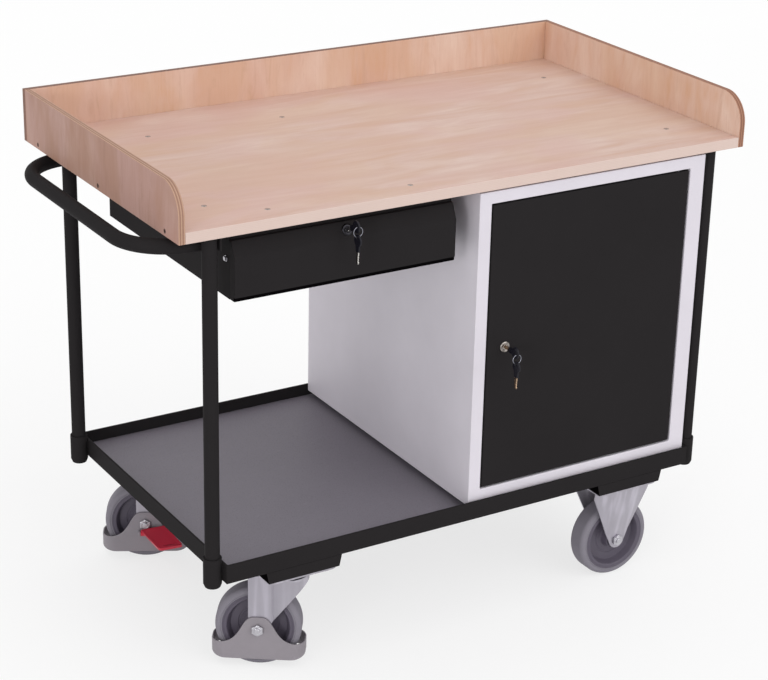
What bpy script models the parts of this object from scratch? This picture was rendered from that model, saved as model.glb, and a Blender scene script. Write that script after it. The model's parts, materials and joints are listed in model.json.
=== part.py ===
"""Workshop trolley: tube legs, deck, plywood worktop with surround, lockable drawer, lockable cabinet,
two swivel castors with foot guards and two fixed castors.  Metres, +Z up, floor at Z = 0, front at -Y."""

import math

import bmesh
import bpy
from mathutils import Matrix, Vector

# Shared clearances and stock
GAP = 0.0003                     # air between two pieces that seat on each other
TUBE_DIAMETER = 0.0269           # legs and push handle
TUBE_WALL = 0.0020
SHEET = 0.0015                   # folded sheet of the cabinet, door and drawer housing
DRAWER_SHEET = 0.0010

# Deck frame and its board
FRAME_LENGTH = 1.024
FRAME_DEPTH = 0.632
RAIL_HEIGHT = 0.036
RAIL_FLANGE = 0.036
RAIL_THICKNESS = 0.004
DECK_BOARD_THICKNESS = 0.008
DECK_BOARD_PLAY = 0.001          # all round, inside the rails

# Leg sockets, welded to the outside of the end rails
SOCKET_WALL = 0.0031
SOCKET_HEIGHT = 0.060
SOCKET_BELOW_RAIL = 0.014
SOCKET_FLOOR = 0.004
SOCKET_EDGE_ROUND = 0.009
SOCKET_WELD_BITE = 0.002
LEG_Y = 0.290

# Worktop and surround
TABLE_UNDERSIDE = 0.873
TABLE_LENGTH = 1.185
TABLE_DEPTH = 0.653
TABLE_FRONT_Y = -0.311
PLATE_THICKNESS = 0.020
BOARD_THICKNESS = 0.012
BOARD_HEIGHT = 0.100
BOARD_CORNER_RADIUS = 0.056
WOOD_EDGE_ROUND = 0.0010

# Angles under the worktop, between the legs of one end
CROSS_RAIL_LEG = 0.025
CROSS_RAIL_THICKNESS = 0.003
CROSS_RAIL_PAST_LEG = 0.013
CROSS_RAIL_SCREW_Y = 0.203
CROSS_RAIL_HOLE = 0.0055

# Push handle
HANDLE_REACH = 0.11655           # bar's middle out from the legs
HANDLE_BELOW_TABLE = 0.0204
HANDLE_BEND_RADIUS = 0.097

# Drawer
DRAWER_SIDE_CLEARANCE = 0.00385  # to the left cross rail
DRAWER_WIDTH = 0.4405
DRAWER_FRONT_Y = -0.298
DRAWER_FRONT_DEPTH = 0.0185
DRAWER_BOTTOM = 0.7484
DRAWER_KNEE = 0.827              # where the front starts to lean back
DRAWER_FRONT_TOP = 0.855
DRAWER_LEAN = 0.013              # how far the top of the front leans back
HOUSING_REAR_Y = 0.206
HOUSING_SIDE_FLANGE = 0.030
HOUSING_FRONT_FLANGE = 0.0135
HOUSING_BOTTOM_FLANGE = 0.014
STRIKE_DROP = 0.024
TRAY_FLOOR_ABOVE_BOTTOM = 0.0100
TRAY_HEIGHT = 0.088
TRAY_REAR_CLEARANCE = 0.018
TRAY_NOTCH_WIDTH = 0.070
TRAY_NOTCH_DEPTH = 0.036
RUNNER_SPACE = 0.013
RUNNER_HEIGHT = 0.043
RUNNER_SHEET = 0.0015
RUNNER_LENGTH = 0.450
RUNNER_FLANGE = 0.0095
RUNNER_SLIP = 0.0006
RUNNER_REAR_CLEARANCE = 0.020
RUNNER_CENTRE_ABOVE_TRAY_FLOOR = 0.042

# Cabinet
CABINET_RIM_CLEARANCE = 0.001
CABINET_DRAWER_CLEARANCE = 0.04275   # the cabinet fills the length beside the drawer
CABINET_DEPTH = 0.614
CABINET_LIFT = 0.0118
CABINET_BELOW_TABLE = 0.0035
BORDER_LEFT = 0.026
BORDER_RIGHT = 0.0345
BORDER_TOP = 0.0235
BORDER_BOTTOM = 0.0305
BORDER_RETURN = 0.022
SHEET_BEND = 0.0020
SKID_WIDTH = 0.040
SKID_END_SETBACK = 0.045
SKID_SIDE_SETBACK = 0.030
SHELF_HEIGHT = 0.300
SHELF_EDGE = 0.020
SHELF_PLAY = 0.002
SHELF_FRONT_SETBACK = 0.060
LEDGE_WIDTH = 0.014
LEDGE_THICKNESS = 0.003

# Door
DOOR_GAP = 0.003
DOOR_THICKNESS = 0.018
DOOR_LIP = 0.014
HINGE_FROM_DOOR_EDGE = 0.020
HINGE_BEHIND_FACE = 0.009
HINGE_PIN_DIAMETER = 0.007
HINGE_PIN_LENGTH = 0.026
HINGE_PIN_PLAY = 0.0004
DOOR_LOCK_FROM_EDGE = 0.0378

# Cam locks and keys
LOCK_FLANGE_DIAMETER = 0.0210
LOCK_FLANGE_THICKNESS = 0.0025
LOCK_BODY_DIAMETER = 0.0160
LOCK_BODY_LENGTH = 0.0240
LOCK_NUT_DIAMETER = 0.0230
LOCK_NUT_THICKNESS = 0.0040
PLUG_DIAMETER = 0.0104
CAM_WIDTH = 0.0120
DRAWER_CAM_REACH = 0.0330
DOOR_CAM_REACH = 0.0500
CAM_THICKNESS = 0.0025
KEYWAY_WIDTH = 0.0028
KEYWAY_HEIGHT = 0.0082
KEYWAY_DEPTH = 0.0180
KEY_BLADE_THICKNESS = 0.0022
KEY_BLADE_HEIGHT = 0.0074
KEY_BLADE_LENGTH = 0.0280
KEY_BOW_RADIUS = 0.0112
KEY_BOW_THICKNESS = 0.0040
KEY_BOW_CENTRE = 0.0320          # from the lock's face
KEY_HOLE_FROM_CENTRE = 0.0062
KEY_HOLE_DIAMETER = 0.0052
RING_RADIUS = 0.0088
RING_WIRE = 0.0016

# Castor bearers: shallow pans across the frame that carry the castor plates
BEARER_WIDTH = 0.155
BEARER_HEIGHT = 0.023
BEARER_SHEET = 0.004
BEARER_TAPER = 0.005             # each long side leans in by this much at the bottom
LEFT_BEARER_SETBACK = 0.157      # middle of the bearer in from the frame's end
RIGHT_BEARER_SETBACK = 0.138

# Castors
CASTOR_HEIGHT = 0.205
FRONT_CASTOR_Y = -0.2585
REAR_FIXED_Y = 0.2585
REAR_SWIVEL_Y = 0.2265
CASTOR_PLATE_LENGTH = 0.140
CASTOR_PLATE_WIDTH = 0.110
CASTOR_PLATE_THICKNESS = 0.004
CASTOR_PLATE_CORNER = 0.010
CASTOR_SLOT_LENGTH = 0.016
CASTOR_SLOT_WIDTH = 0.011
CASTOR_SLOT_SPACING = (0.105, 0.080)
FIXED_SLOT_SPACING = (0.084, 0.050)   # inside the fixed castors' flared arms
RACE_RADIUS = 0.036
RACE_DEPTH = 0.009
KING_PIN_DIAMETER = 0.014
SWIVEL_PLAY = 0.0004
CROWN_RADIUS = 0.034
CROWN_HEIGHT = 0.0016            # ball race's seat above the fork's top
WHEEL_DIAMETER = 0.160
TYRE_WIDTH = 0.042
TYRE_DEPTH = 0.013
TYRE_CROWN = 0.009
HUB_RADIUS = 0.021
HUB_WIDTH = 0.046
WEB_THICKNESS = 0.012
RIM_THICKNESS = 0.008
AXLE_DIAMETER = 0.012
AXLE_PLAY = 0.0004
BOLT_HEAD_ACROSS = 0.0205
BOLT_HEAD_THICKNESS = 0.0075
CASTOR_TRAIL = 0.055
FORK_INNER_WIDTH = 0.0525
FORK_SHEET = 0.0035
FORK_NOSE_RADIUS = 0.037         # pressed nose round the swivel axis
FORK_NOSE_SKIRT = 0.010          # depth of the skirt at the very front
FORK_SHOULDER = 0.004            # pressed shoulder between skirt and top
FORK_FLANK_FOLD = 0.0245         # where the flank leaves the flat arm, ahead of the axle
FORK_EYE_STEPS = 8
FORK_NOSE_STEPS = 5
FORK_EYE_RADIUS = 0.0175
FORK_FOLD = 0.0160                # fold lines, from the axle's upright
FIXED_ARM_TOP = 0.130
FIXED_ARM_FLARE = math.radians(9.5)
FIXED_FLANK_BEND = math.radians(11.0)
FRONT_LEFT_YAW = math.radians(-34.0)
REAR_LEFT_YAW = math.radians(-28.0)

# Foot guard round a swivel wheel
GUARD_SHEET = 0.0028
GUARD_END_CLEARANCE = 0.004
GUARD_BOTTOM = 0.018
GUARD_END_TOP = 0.048
GUARD_CHEEK_RISE = 0.025         # above the axle
GUARD_CHEEK_HALF = 0.034         # half the bell's width, half way up
GUARD_CHEEK_POWER = 4.1          # how square the bell's shoulders are
GUARD_PLAN_CORNER = 0.026
GUARD_END_RISE = 0.007           # the bottom edge turns up towards both ends
GUARD_END_RUN = 0.032
GUARD_CORNER_STEPS = 4
GUARD_SIDE_STEPS = 9

# Brake pedal on the rear left castor
PEDAL_LENGTH = 0.041               # of the barrel on the cross pin
PEDAL_BARREL_RADIUS = 0.0055
PEDAL_PIN_DIAMETER = 0.0040
PEDAL_BELOW_AXLE = 0.0185
PEDAL_AHEAD_OF_AXLE = 0.0115
PEDAL_WIDTH = 0.049                # of the tread
PEDAL_REACH = 0.067
PEDAL_SKEW = 0.036                 # the tread's outer edge stands this far ahead of its inner edge
PEDAL_THICKNESS = 0.006
PEDAL_CORNER = 0.006
PEDAL_SLOPE = math.radians(14.4)   # down towards the toe
PEDAL_ROLL = math.radians(11.3)    # the front side stands higher
PEDAL_TREAD_AHEAD = 0.0045         # the tread's inner edge against the cross pin
PEDAL_TREAD_OUT = 0.0036
PEDAL_TREAD_RISE = 0.0125
PEDAL_WEB_START = -0.008           # the web from the barrel up to the tread, along the pin
PEDAL_WEB_END = 0.016
PEDAL_WEB_IN = 0.0024
PEDAL_WEB_OUT = 0.007
PEDAL_WEB_RISE = 0.0113
PEDAL_EAR = 0.004

# Facets
TUBE_STEPS = 16
WHEEL_STEPS = 24
LOCK_STEPS = 12
HANDLE_RINGS = 5

# Levels and planes that several pieces share
BEARER_BOTTOM = CASTOR_HEIGHT + GAP
RAIL_BOTTOM = BEARER_BOTTOM + BEARER_HEIGHT + GAP
RAIL_TOP = RAIL_BOTTOM + RAIL_HEIGHT
DECK_BOARD_BOTTOM = RAIL_BOTTOM + RAIL_THICKNESS + GAP
DECK_TOP = DECK_BOARD_BOTTOM + DECK_BOARD_THICKNESS
SOCKET_DIAMETER = TUBE_DIAMETER + 2 * (SOCKET_WALL + GAP)
LEG_X = FRAME_LENGTH / 2 + SOCKET_DIAMETER / 2 - SOCKET_WELD_BITE
SOCKET_BOTTOM = RAIL_BOTTOM - SOCKET_BELOW_RAIL
LEG_BOTTOM = SOCKET_BOTTOM + SOCKET_FLOOR + GAP
UNDER_TABLE = TABLE_UNDERSIDE - GAP
CROSS_RAIL_X = LEG_X - TUBE_DIAMETER / 2 - GAP
HANDLE_BAR_X = -(LEG_X + HANDLE_REACH)
LEFT_BEARER_X = LEFT_BEARER_SETBACK - FRAME_LENGTH / 2
RIGHT_BEARER_X = FRAME_LENGTH / 2 - RIGHT_BEARER_SETBACK
DRAWER_LEFT = CROSS_RAIL_LEG + DRAWER_SIDE_CLEARANCE - CROSS_RAIL_X
DRAWER_X = DRAWER_LEFT + DRAWER_WIDTH / 2
CABINET_RIGHT = FRAME_LENGTH / 2 - RAIL_THICKNESS - CABINET_RIM_CLEARANCE
CABINET_LEFT = DRAWER_LEFT + DRAWER_WIDTH + CABINET_DRAWER_CLEARANCE
CABINET_FRONT_Y = -CABINET_DEPTH / 2
CABINET_BOTTOM = DECK_TOP + CABINET_LIFT
CABINET_TOP = TABLE_UNDERSIDE - CABINET_BELOW_TABLE
DOOR_LEFT = CABINET_LEFT + BORDER_LEFT + DOOR_GAP
DOOR_RIGHT = CABINET_RIGHT - BORDER_RIGHT - DOOR_GAP
DOOR_BOTTOM = CABINET_BOTTOM + BORDER_BOTTOM + DOOR_GAP
DOOR_TOP = CABINET_TOP - BORDER_TOP - DOOR_GAP
HOUSING_FRONT_Y = DRAWER_FRONT_Y + DRAWER_FRONT_DEPTH + GAP
DRAWER_SLOPE = math.atan2(DRAWER_LEAN, DRAWER_FRONT_TOP - DRAWER_KNEE)
KEY_REACH = KEY_BOW_CENTRE + KEY_HOLE_FROM_CENTRE + KEY_BOW_RADIUS   # to the hanging spare key's bow
AXLE_HEIGHT = WHEEL_DIAMETER / 2
TYRE_INNER_RADIUS = WHEEL_DIAMETER / 2 - TYRE_DEPTH
FORK_OUTER_WIDTH = FORK_INNER_WIDTH + 2 * FORK_SHEET
GUARD_HALF_WIDTH = FORK_OUTER_WIDTH / 2 + GAP + GUARD_SHEET
GUARD_HALF_LENGTH = WHEEL_DIAMETER / 2 + GUARD_END_CLEARANCE + GUARD_SHEET

# The part's origin is on the floor, under the middle of its outline
OUTLINE_LEFT = HANDLE_BAR_X - TUBE_DIAMETER / 2
OUTLINE_RIGHT = TABLE_LENGTH / 2
OUTLINE_FRONT = CABINET_FRONT_Y - LOCK_FLANGE_THICKNESS - GAP - KEY_REACH
OUTLINE_REAR = TABLE_FRONT_Y + TABLE_DEPTH
ORIGIN_SHIFT = Vector((-(OUTLINE_LEFT + OUTLINE_RIGHT) / 2, -(OUTLINE_FRONT + OUTLINE_REAR) / 2, 0.0))


# Scene, materials and small helpers

for old in list(bpy.data.objects):
    bpy.data.objects.remove(old, do_unlink=True)

parts = bpy.data.collections.new("workshop_trolley")
cutters = bpy.data.collections.new("cutters")
bpy.context.scene.collection.children.link(parts)
bpy.context.scene.collection.children.link(cutters)


def make_material(name, colour, roughness, metallic=0.0):
    material = bpy.data.materials.new(name)
    material.use_nodes = True
    shader = material.node_tree.nodes["Principled BSDF"]
    shader.inputs["Base Color"].default_value = (*colour, 1.0)
    shader.inputs["Roughness"].default_value = roughness
    shader.inputs["Metallic"].default_value = metallic
    return material


anthracite = make_material("anthracite_powder_coat", (0.026, 0.025, 0.026), 0.45)
light_grey = make_material("light_grey_powder_coat", (0.66, 0.64, 0.68), 0.45)
deck_grey = make_material("grey_deck_board", (0.17, 0.16, 0.18), 0.60)
beech_ply = make_material("beech_plywood", (0.62, 0.45, 0.35), 0.55)
zinc = make_material("zinc_plated_steel", (0.55, 0.54, 0.57), 0.35, 1.0)
tyre_grey = make_material("grey_tyre", (0.26, 0.25, 0.28), 0.70)
rim_grey = make_material("dark_grey_rim", (0.08, 0.07, 0.09), 0.50)
guard_grey = make_material("grey_foot_guard", (0.21, 0.20, 0.20), 0.55)
pedal_red = make_material("red_pedal", (0.36, 0.02, 0.04), 0.45)
key_black = make_material("dark_key_bow", (0.010, 0.010, 0.018), 0.40)


def empty(name, parent=None, location=(0.0, 0.0, 0.0), rotation=(0.0, 0.0, 0.0)):
    guide = bpy.data.objects.new(name, None)
    guide.empty_display_size = 0.03
    guide.location = location
    guide.rotation_euler = rotation
    guide.parent = parent
    parts.objects.link(guide)
    return guide


def part(name, mesh, material, parent, location=(0.0, 0.0, 0.0), rotation=(0.0, 0.0, 0.0)):
    obj = bpy.data.objects.new(name, mesh)
    obj.location = location
    obj.rotation_euler = rotation
    obj.parent = parent
    mesh.materials.clear()
    mesh.materials.append(material)
    parts.objects.link(obj)
    return obj


def to_mesh(bm, name):
    mesh = bpy.data.meshes.new(name)
    bmesh.ops.recalc_face_normals(bm, faces=bm.faces)
    bm.to_mesh(mesh)
    bm.free()
    return mesh


def box_bmesh(low, high):
    low, high = Vector(low), Vector(high)
    bm = bmesh.new()
    bmesh.ops.create_cube(bm, size=1.0)
    bmesh.ops.scale(bm, vec=high - low, verts=bm.verts)
    bmesh.ops.translate(bm, vec=(low + high) / 2, verts=bm.verts)
    return bm


def box(name, low, high):
    return to_mesh(box_bmesh(low, high), name)


def cylinder(name, radius, low, high, axis="Z", steps=TUBE_STEPS):
    """A round bar from low to high along one axis, centred on the other two."""
    bm = bmesh.new()
    bmesh.ops.create_cone(bm, cap_ends=True, segments=steps, radius1=radius, radius2=radius, depth=high - low)
    bmesh.ops.translate(bm, vec=(0.0, 0.0, (low + high) / 2), verts=bm.verts)
    if axis == "Y":
        bmesh.ops.rotate(bm, matrix=Matrix.Rotation(-math.pi / 2, 3, "X"), verts=bm.verts)
    if axis == "X":
        bmesh.ops.rotate(bm, matrix=Matrix.Rotation(math.pi / 2, 3, "Y"), verts=bm.verts)
    return to_mesh(bm, name)


def facing(bm, direction, limit=0.9):
    direction = Vector(direction)
    bm.normal_update()
    return [face for face in bm.faces if face.normal.dot(direction) > limit]


def drop_faces(bm, direction):
    bmesh.ops.delete(bm, geom=facing(bm, direction), context="FACES")


def open_ring(bm, direction, width):
    """Turn one flat side into a flange of the given width round an opening; returns the rim's corners."""
    face = facing(bm, direction)[0]
    bmesh.ops.inset_individual(bm, faces=[face], thickness=width, use_even_offset=True)
    corners = list(face.verts)
    bmesh.ops.delete(bm, geom=[face], context="FACES_ONLY")
    return corners


def outline(name, points, thickness):
    """A flat outline in XY, filled and given its thickness along Z, as a closed mesh."""
    curve = bpy.data.curves.new(name, "CURVE")
    curve.dimensions = "2D"
    curve.fill_mode = "BOTH"
    curve.extrude = thickness / 2
    spline = curve.splines.new("POLY")
    spline.points.add(len(points) - 1)
    for spot, (x, y) in zip(spline.points, points):
        spot.co = (x, y, 0.0, 1.0)
    spline.use_cyclic_u = True
    return curve_to_mesh(name, curve)


def curve_to_mesh(name, curve):
    holder = bpy.data.objects.new(name, curve)
    bpy.context.scene.collection.objects.link(holder)
    bpy.context.view_layer.update()
    evaluated = holder.evaluated_get(bpy.context.evaluated_depsgraph_get())
    mesh = bpy.data.meshes.new_from_object(evaluated)
    mesh.name = name
    bpy.data.objects.remove(holder, do_unlink=True)
    bpy.data.curves.remove(curve)
    bm = bmesh.new()
    bm.from_mesh(mesh)
    bmesh.ops.remove_doubles(bm, verts=bm.verts, dist=0.00001)
    bmesh.ops.recalc_face_normals(bm, faces=bm.faces)
    bm.to_mesh(mesh)
    bm.free()
    return mesh


def arc(centre, radius, start, end, steps):
    """Points on an arc in degrees, both ends included."""
    spots = []
    for i in range(steps + 1):
        angle = math.radians(start + (end - start) * i / steps)
        spots.append((centre[0] + radius * math.cos(angle), centre[1] + radius * math.sin(angle)))
    return spots


def rounded_rectangle(length, width, radius, steps=2):
    x, y = length / 2 - radius, width / 2 - radius
    return (arc((x, y), radius, 0, 90, steps) + arc((-x, y), radius, 90, 180, steps)
            + arc((-x, -y), radius, 180, 270, steps) + arc((x, -y), radius, 270, 360, steps))


def turned(name, profile, steps, closed=True):
    """A turned shape about Z from (radius, height) points that run down the outer side first."""
    mesh = bpy.data.meshes.new(name)
    edges = [(i, i + 1) for i in range(len(profile) - 1)]
    if closed:
        edges.append((len(profile) - 1, 0))
    mesh.from_pydata([(radius, 0.0, height) for radius, height in profile], edges, [])
    holder = bpy.data.objects.new(name, mesh)
    bpy.context.scene.collection.objects.link(holder)
    screw = holder.modifiers.new("turn", "SCREW")
    screw.steps = steps
    screw.render_steps = steps
    screw.use_merge_vertices = True
    screw.merge_threshold = 0.00001
    screw.use_smooth_shade = False
    bpy.context.view_layer.update()
    evaluated = holder.evaluated_get(bpy.context.evaluated_depsgraph_get())
    result = bpy.data.meshes.new_from_object(evaluated)
    result.name = name
    bpy.data.objects.remove(holder, do_unlink=True)
    bpy.data.meshes.remove(mesh)
    bm = bmesh.new()
    bm.from_mesh(result)
    bmesh.ops.remove_doubles(bm, verts=bm.verts, dist=0.00001)
    bmesh.ops.recalc_face_normals(bm, faces=bm.faces)
    bm.to_mesh(result)
    bm.free()
    return result


def moved(mesh, matrix):
    mesh.transform(matrix)
    return mesh


def turn_to_y(mesh):
    """Lay a shape that was turned about Z along Y, its top towards -Y."""
    return moved(mesh, Matrix.Rotation(math.pi / 2, 4, "X"))


def solidify(obj, thickness):
    sheet = obj.modifiers.new("sheet", "SOLIDIFY")
    sheet.thickness = thickness
    sheet.offset = -1.0
    sheet.use_even_offset = True


def round_edges(obj, width, steps=2, angle=50.0):
    bevel = obj.modifiers.new("round", "BEVEL")
    bevel.width = width
    bevel.segments = steps
    bevel.limit_method = "ANGLE"
    bevel.angle_limit = math.radians(angle)


def join(obj, mesh, operation, location=(0.0, 0.0, 0.0), rotation=(0.0, 0.0, 0.0)):
    """Add (UNION) or cut (DIFFERENCE) a mesh given in the object's own frame."""
    tool = bpy.data.objects.new(obj.name + "_tool", mesh)
    tool.parent = obj
    tool.location = location
    tool.rotation_euler = rotation
    tool.hide_render = True
    tool.display_type = "WIRE"
    cutters.objects.link(tool)
    boolean = obj.modifiers.new(operation.lower(), "BOOLEAN")
    boolean.operation = operation
    boolean.object = tool
    boolean.solver = "EXACT"


def add(obj, mesh, location=(0.0, 0.0, 0.0), rotation=(0.0, 0.0, 0.0)):
    join(obj, mesh, "UNION", location, rotation)


def cut(obj, mesh, location=(0.0, 0.0, 0.0), rotation=(0.0, 0.0, 0.0)):
    join(obj, mesh, "DIFFERENCE", location, rotation)


SIDES = {"left": -1.0, "right": 1.0}
ENDS = {"front": -1.0, "rear": 1.0}

trolley = empty("trolley", None, ORIGIN_SHIFT)


# Deck frame: angle rails with mitred corners, and four welded leg sockets

def build_deck_frame():
    bm = box_bmesh((-FRAME_LENGTH / 2, -FRAME_DEPTH / 2, RAIL_BOTTOM),
                   (FRAME_LENGTH / 2, FRAME_DEPTH / 2, RAIL_TOP))
    drop_faces(bm, (0, 0, 1))
    open_ring(bm, (0, 0, -1), RAIL_FLANGE)
    frame = part("deck_frame", to_mesh(bm, "deck_frame"), anthracite, trolley)
    solidify(frame, RAIL_THICKNESS)
    bore = TUBE_DIAMETER / 2 + GAP
    outer = SOCKET_DIAMETER / 2
    edge = SOCKET_EDGE_ROUND
    bottom_round = arc((outer - edge, edge), edge, 0, -90, 2)
    profile = ([(0.0, SOCKET_FLOOR), (bore, SOCKET_FLOOR), (bore, SOCKET_HEIGHT), (outer, SOCKET_HEIGHT)]
               + bottom_round + [(0.0, 0.0)])
    for side in SIDES.values():
        for end in ENDS.values():
            socket = turned("socket", profile, TUBE_STEPS, False)
            add(frame, socket, (side * LEG_X, end * LEG_Y, SOCKET_BOTTOM))


def build_deck_board():
    x = FRAME_LENGTH / 2 - RAIL_THICKNESS - DECK_BOARD_PLAY
    y = FRAME_DEPTH / 2 - RAIL_THICKNESS - DECK_BOARD_PLAY
    part("deck_board", box("deck_board", (-x, -y, DECK_BOARD_BOTTOM), (x, y, DECK_TOP)), deck_grey, trolley)


def build_legs():
    outer, inner = TUBE_DIAMETER / 2, TUBE_DIAMETER / 2 - TUBE_WALL
    length = UNDER_TABLE - LEG_BOTTOM
    profile = [(outer, length), (outer, 0.0), (inner, 0.0), (inner, length)]
    for side_name, side in SIDES.items():
        for end_name, end in ENDS.items():
            name = f"leg_{end_name}_{side_name}"
            part(name, turned(name, profile, TUBE_STEPS), anthracite, trolley,
                 (side * LEG_X, end * LEG_Y, LEG_BOTTOM))


def build_cross_rails():
    """Angles that tie the legs of one end and take the worktop's screws."""
    leg, thick = CROSS_RAIL_LEG, CROSS_RAIL_THICKNESS
    section = [(0.0, 0.0), (0.0, -leg), (-thick, -leg), (-thick, -thick), (-leg, -thick), (-leg, 0.0)]
    length = 2 * (LEG_Y + CROSS_RAIL_PAST_LEG)
    for side_name, side in SIDES.items():
        name = f"top_cross_rail_{side_name}"
        mesh = outline(name, [(side * x, z) for x, z in section], length)
        moved(mesh, Matrix.Rotation(math.pi / 2, 4, "X"))
        rail = part(name, mesh, anthracite, trolley, (side * CROSS_RAIL_X, 0.0, UNDER_TABLE))
        hole_x = -side * (leg + thick) / 2
        for end in ENDS.values():
            hole = cylinder("screw_hole", CROSS_RAIL_HOLE / 2, -2 * thick, thick, steps=12)
            cut(rail, hole, (hole_x, end * CROSS_RAIL_SCREW_Y, 0.0))


def build_push_handle():
    """One bent tube whose arms run along the inside of the left legs to the cross rail."""
    arm_y = LEG_Y - TUBE_DIAMETER - GAP
    arm_end = -CROSS_RAIL_X - GAP
    radius = HANDLE_BEND_RADIUS
    centre_x, centre_y = HANDLE_BAR_X + radius, arm_y - radius
    half = [(arm_end, arm_y)] + arc((centre_x, centre_y), radius, 90, 180, 7)
    route = half + [(x, -y) for x, y in reversed(half)]
    curve = bpy.data.curves.new("push_handle", "CURVE")
    curve.dimensions = "3D"
    curve.bevel_depth = TUBE_DIAMETER / 2
    curve.bevel_resolution = HANDLE_RINGS
    curve.use_fill_caps = True
    spline = curve.splines.new("POLY")
    spline.points.add(len(route) - 1)
    for spot, (x, y) in zip(spline.points, route):
        spot.co = (x, y, 0.0, 1.0)
    mesh = curve_to_mesh("push_handle", curve)
    part("push_handle", mesh, anthracite, trolley, (0.0, 0.0, TABLE_UNDERSIDE - HANDLE_BELOW_TABLE))


def build_worktop():
    side_x = TABLE_LENGTH / 2 - BOARD_THICKNESS
    rear = TABLE_FRONT_Y + TABLE_DEPTH
    board_front = rear - BOARD_THICKNESS
    top = TABLE_UNDERSIDE + BOARD_HEIGHT
    plate = box("table_top", (-side_x + GAP, TABLE_FRONT_Y, TABLE_UNDERSIDE),
                (side_x - GAP, board_front - GAP, TABLE_UNDERSIDE + PLATE_THICKNESS))
    round_edges(part("table_top", plate, beech_ply, trolley), WOOD_EDGE_ROUND)
    back = box("back_board", (-TABLE_LENGTH / 2, board_front, TABLE_UNDERSIDE), (TABLE_LENGTH / 2, rear, top))
    round_edges(part("back_board", back, beech_ply, trolley), WOOD_EDGE_ROUND)
    radius = BOARD_CORNER_RADIUS
    corner = arc((TABLE_FRONT_Y + radius, BOARD_HEIGHT - radius), radius, 180, 90, 8)
    shape = [(TABLE_FRONT_Y, 0.0)] + corner + [(board_front - GAP, BOARD_HEIGHT), (board_front - GAP, 0.0)]
    upright = Matrix.Rotation(math.pi / 2, 4, "Z") @ Matrix.Rotation(math.pi / 2, 4, "X")
    for side_name, side in SIDES.items():
        name = f"{side_name}_side_board"
        mesh = moved(outline(name, shape, BOARD_THICKNESS), upright)
        board = part(name, mesh, beech_ply, trolley,
                     (side * (side_x + BOARD_THICKNESS / 2), 0.0, TABLE_UNDERSIDE))
        round_edges(board, WOOD_EDGE_ROUND, steps=1, angle=60.0)


# Cam lock with its key, ring and hanging spare key.  The lock's axis is local Y, its face looks to -Y,
# and the skin that carries it lies between Y = 0 and the sheet's thickness.

def build_lock(prefix, carrier, location, tilt, cam_reach, cam_turn):
    mount = empty(f"{prefix}_lock_mount", carrier, location, (tilt, 0.0, 0.0))
    bore = PLUG_DIAMETER / 2 + GAP
    flange, body, nut = LOCK_FLANGE_DIAMETER / 2, LOCK_BODY_DIAMETER / 2, LOCK_NUT_DIAMETER / 2
    nut_face = -SHEET - GAP
    face = LOCK_FLANGE_THICKNESS + GAP
    nut_back = nut_face - LOCK_NUT_THICKNESS
    profile = [(bore, face), (flange - 0.001, face), (flange, face - 0.001), (flange, GAP), (body, GAP),
               (body, nut_face), (nut, nut_face), (nut, nut_back), (body, nut_back),
               (body, -LOCK_BODY_LENGTH), (bore, -LOCK_BODY_LENGTH)]
    part(f"{prefix}_lock_body", turn_to_y(turned("lock_body", profile, LOCK_STEPS)), zinc, mount)

    axis = empty(f"{prefix}_lock_axis", mount)
    radius = PLUG_DIAMETER / 2
    cam_face = -LOCK_BODY_LENGTH - GAP
    tail = cam_face - CAM_THICKNESS
    plug_profile = [(0.0, face), (radius, face), (radius, tail), (0.0, tail)]
    plug_mesh = turned("lock_plug", plug_profile, LOCK_STEPS, False)
    plug = part(f"{prefix}_lock_plug", turn_to_y(plug_mesh), zinc, axis)
    half = CAM_WIDTH / 2
    shape = arc((0.0, 0.0), half, 90, 270, 6) + [(cam_reach, -half), (cam_reach, half)]
    cam = moved(outline("cam", shape, CAM_THICKNESS), Matrix.Rotation(math.pi / 2, 4, "X"))
    add(plug, cam, (0.0, -cam_face + CAM_THICKNESS / 2, 0.0), (0.0, cam_turn, 0.0))
    keyway = box("keyway", (-KEYWAY_WIDTH / 2, -face - GAP, -KEYWAY_HEIGHT / 2),
                 (KEYWAY_WIDTH / 2, KEYWAY_DEPTH, KEYWAY_HEIGHT / 2))
    cut(plug, keyway)

    # The key sits in the keyway; its bow stands out along -Y and the ring hangs from the bow's hole
    key = part(f"{prefix}_key", key_mesh(), key_black, axis, (0.0, -face, 0.0))
    shape_key(key)
    hole_y = -face - KEY_BOW_CENTRE - KEY_HOLE_FROM_CENTRE
    hang = KEY_HOLE_DIAMETER / 2 - RING_WIRE / 2 - 2 * GAP
    pivot = empty(f"{prefix}_key_pivot", axis, (0.0, hole_y, 0.0), (-tilt, 0.0, 0.0))
    ring_centre = -hang - RING_RADIUS
    bpy.ops.mesh.primitive_torus_add(major_radius=RING_RADIUS, minor_radius=RING_WIRE / 2,
                                     major_segments=16, minor_segments=6)
    torus = bpy.context.object
    ring_mesh = moved(torus.data.copy(), Matrix.Rotation(math.pi / 2, 4, "X"))
    bpy.data.objects.remove(torus, do_unlink=True)
    part(f"{prefix}_key_ring", ring_mesh, zinc, pivot, (0.0, 0.0, ring_centre))
    spare_hole = ring_centre - RING_RADIUS - hang
    spare = part(f"{prefix}_spare_key", key_mesh(), key_black, pivot,
                 (0.0, 0.0, spare_hole - KEY_HOLE_FROM_CENTRE - KEY_BOW_CENTRE), (-math.pi / 2, 0.0, 0.0))
    shape_key(spare)


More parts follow.
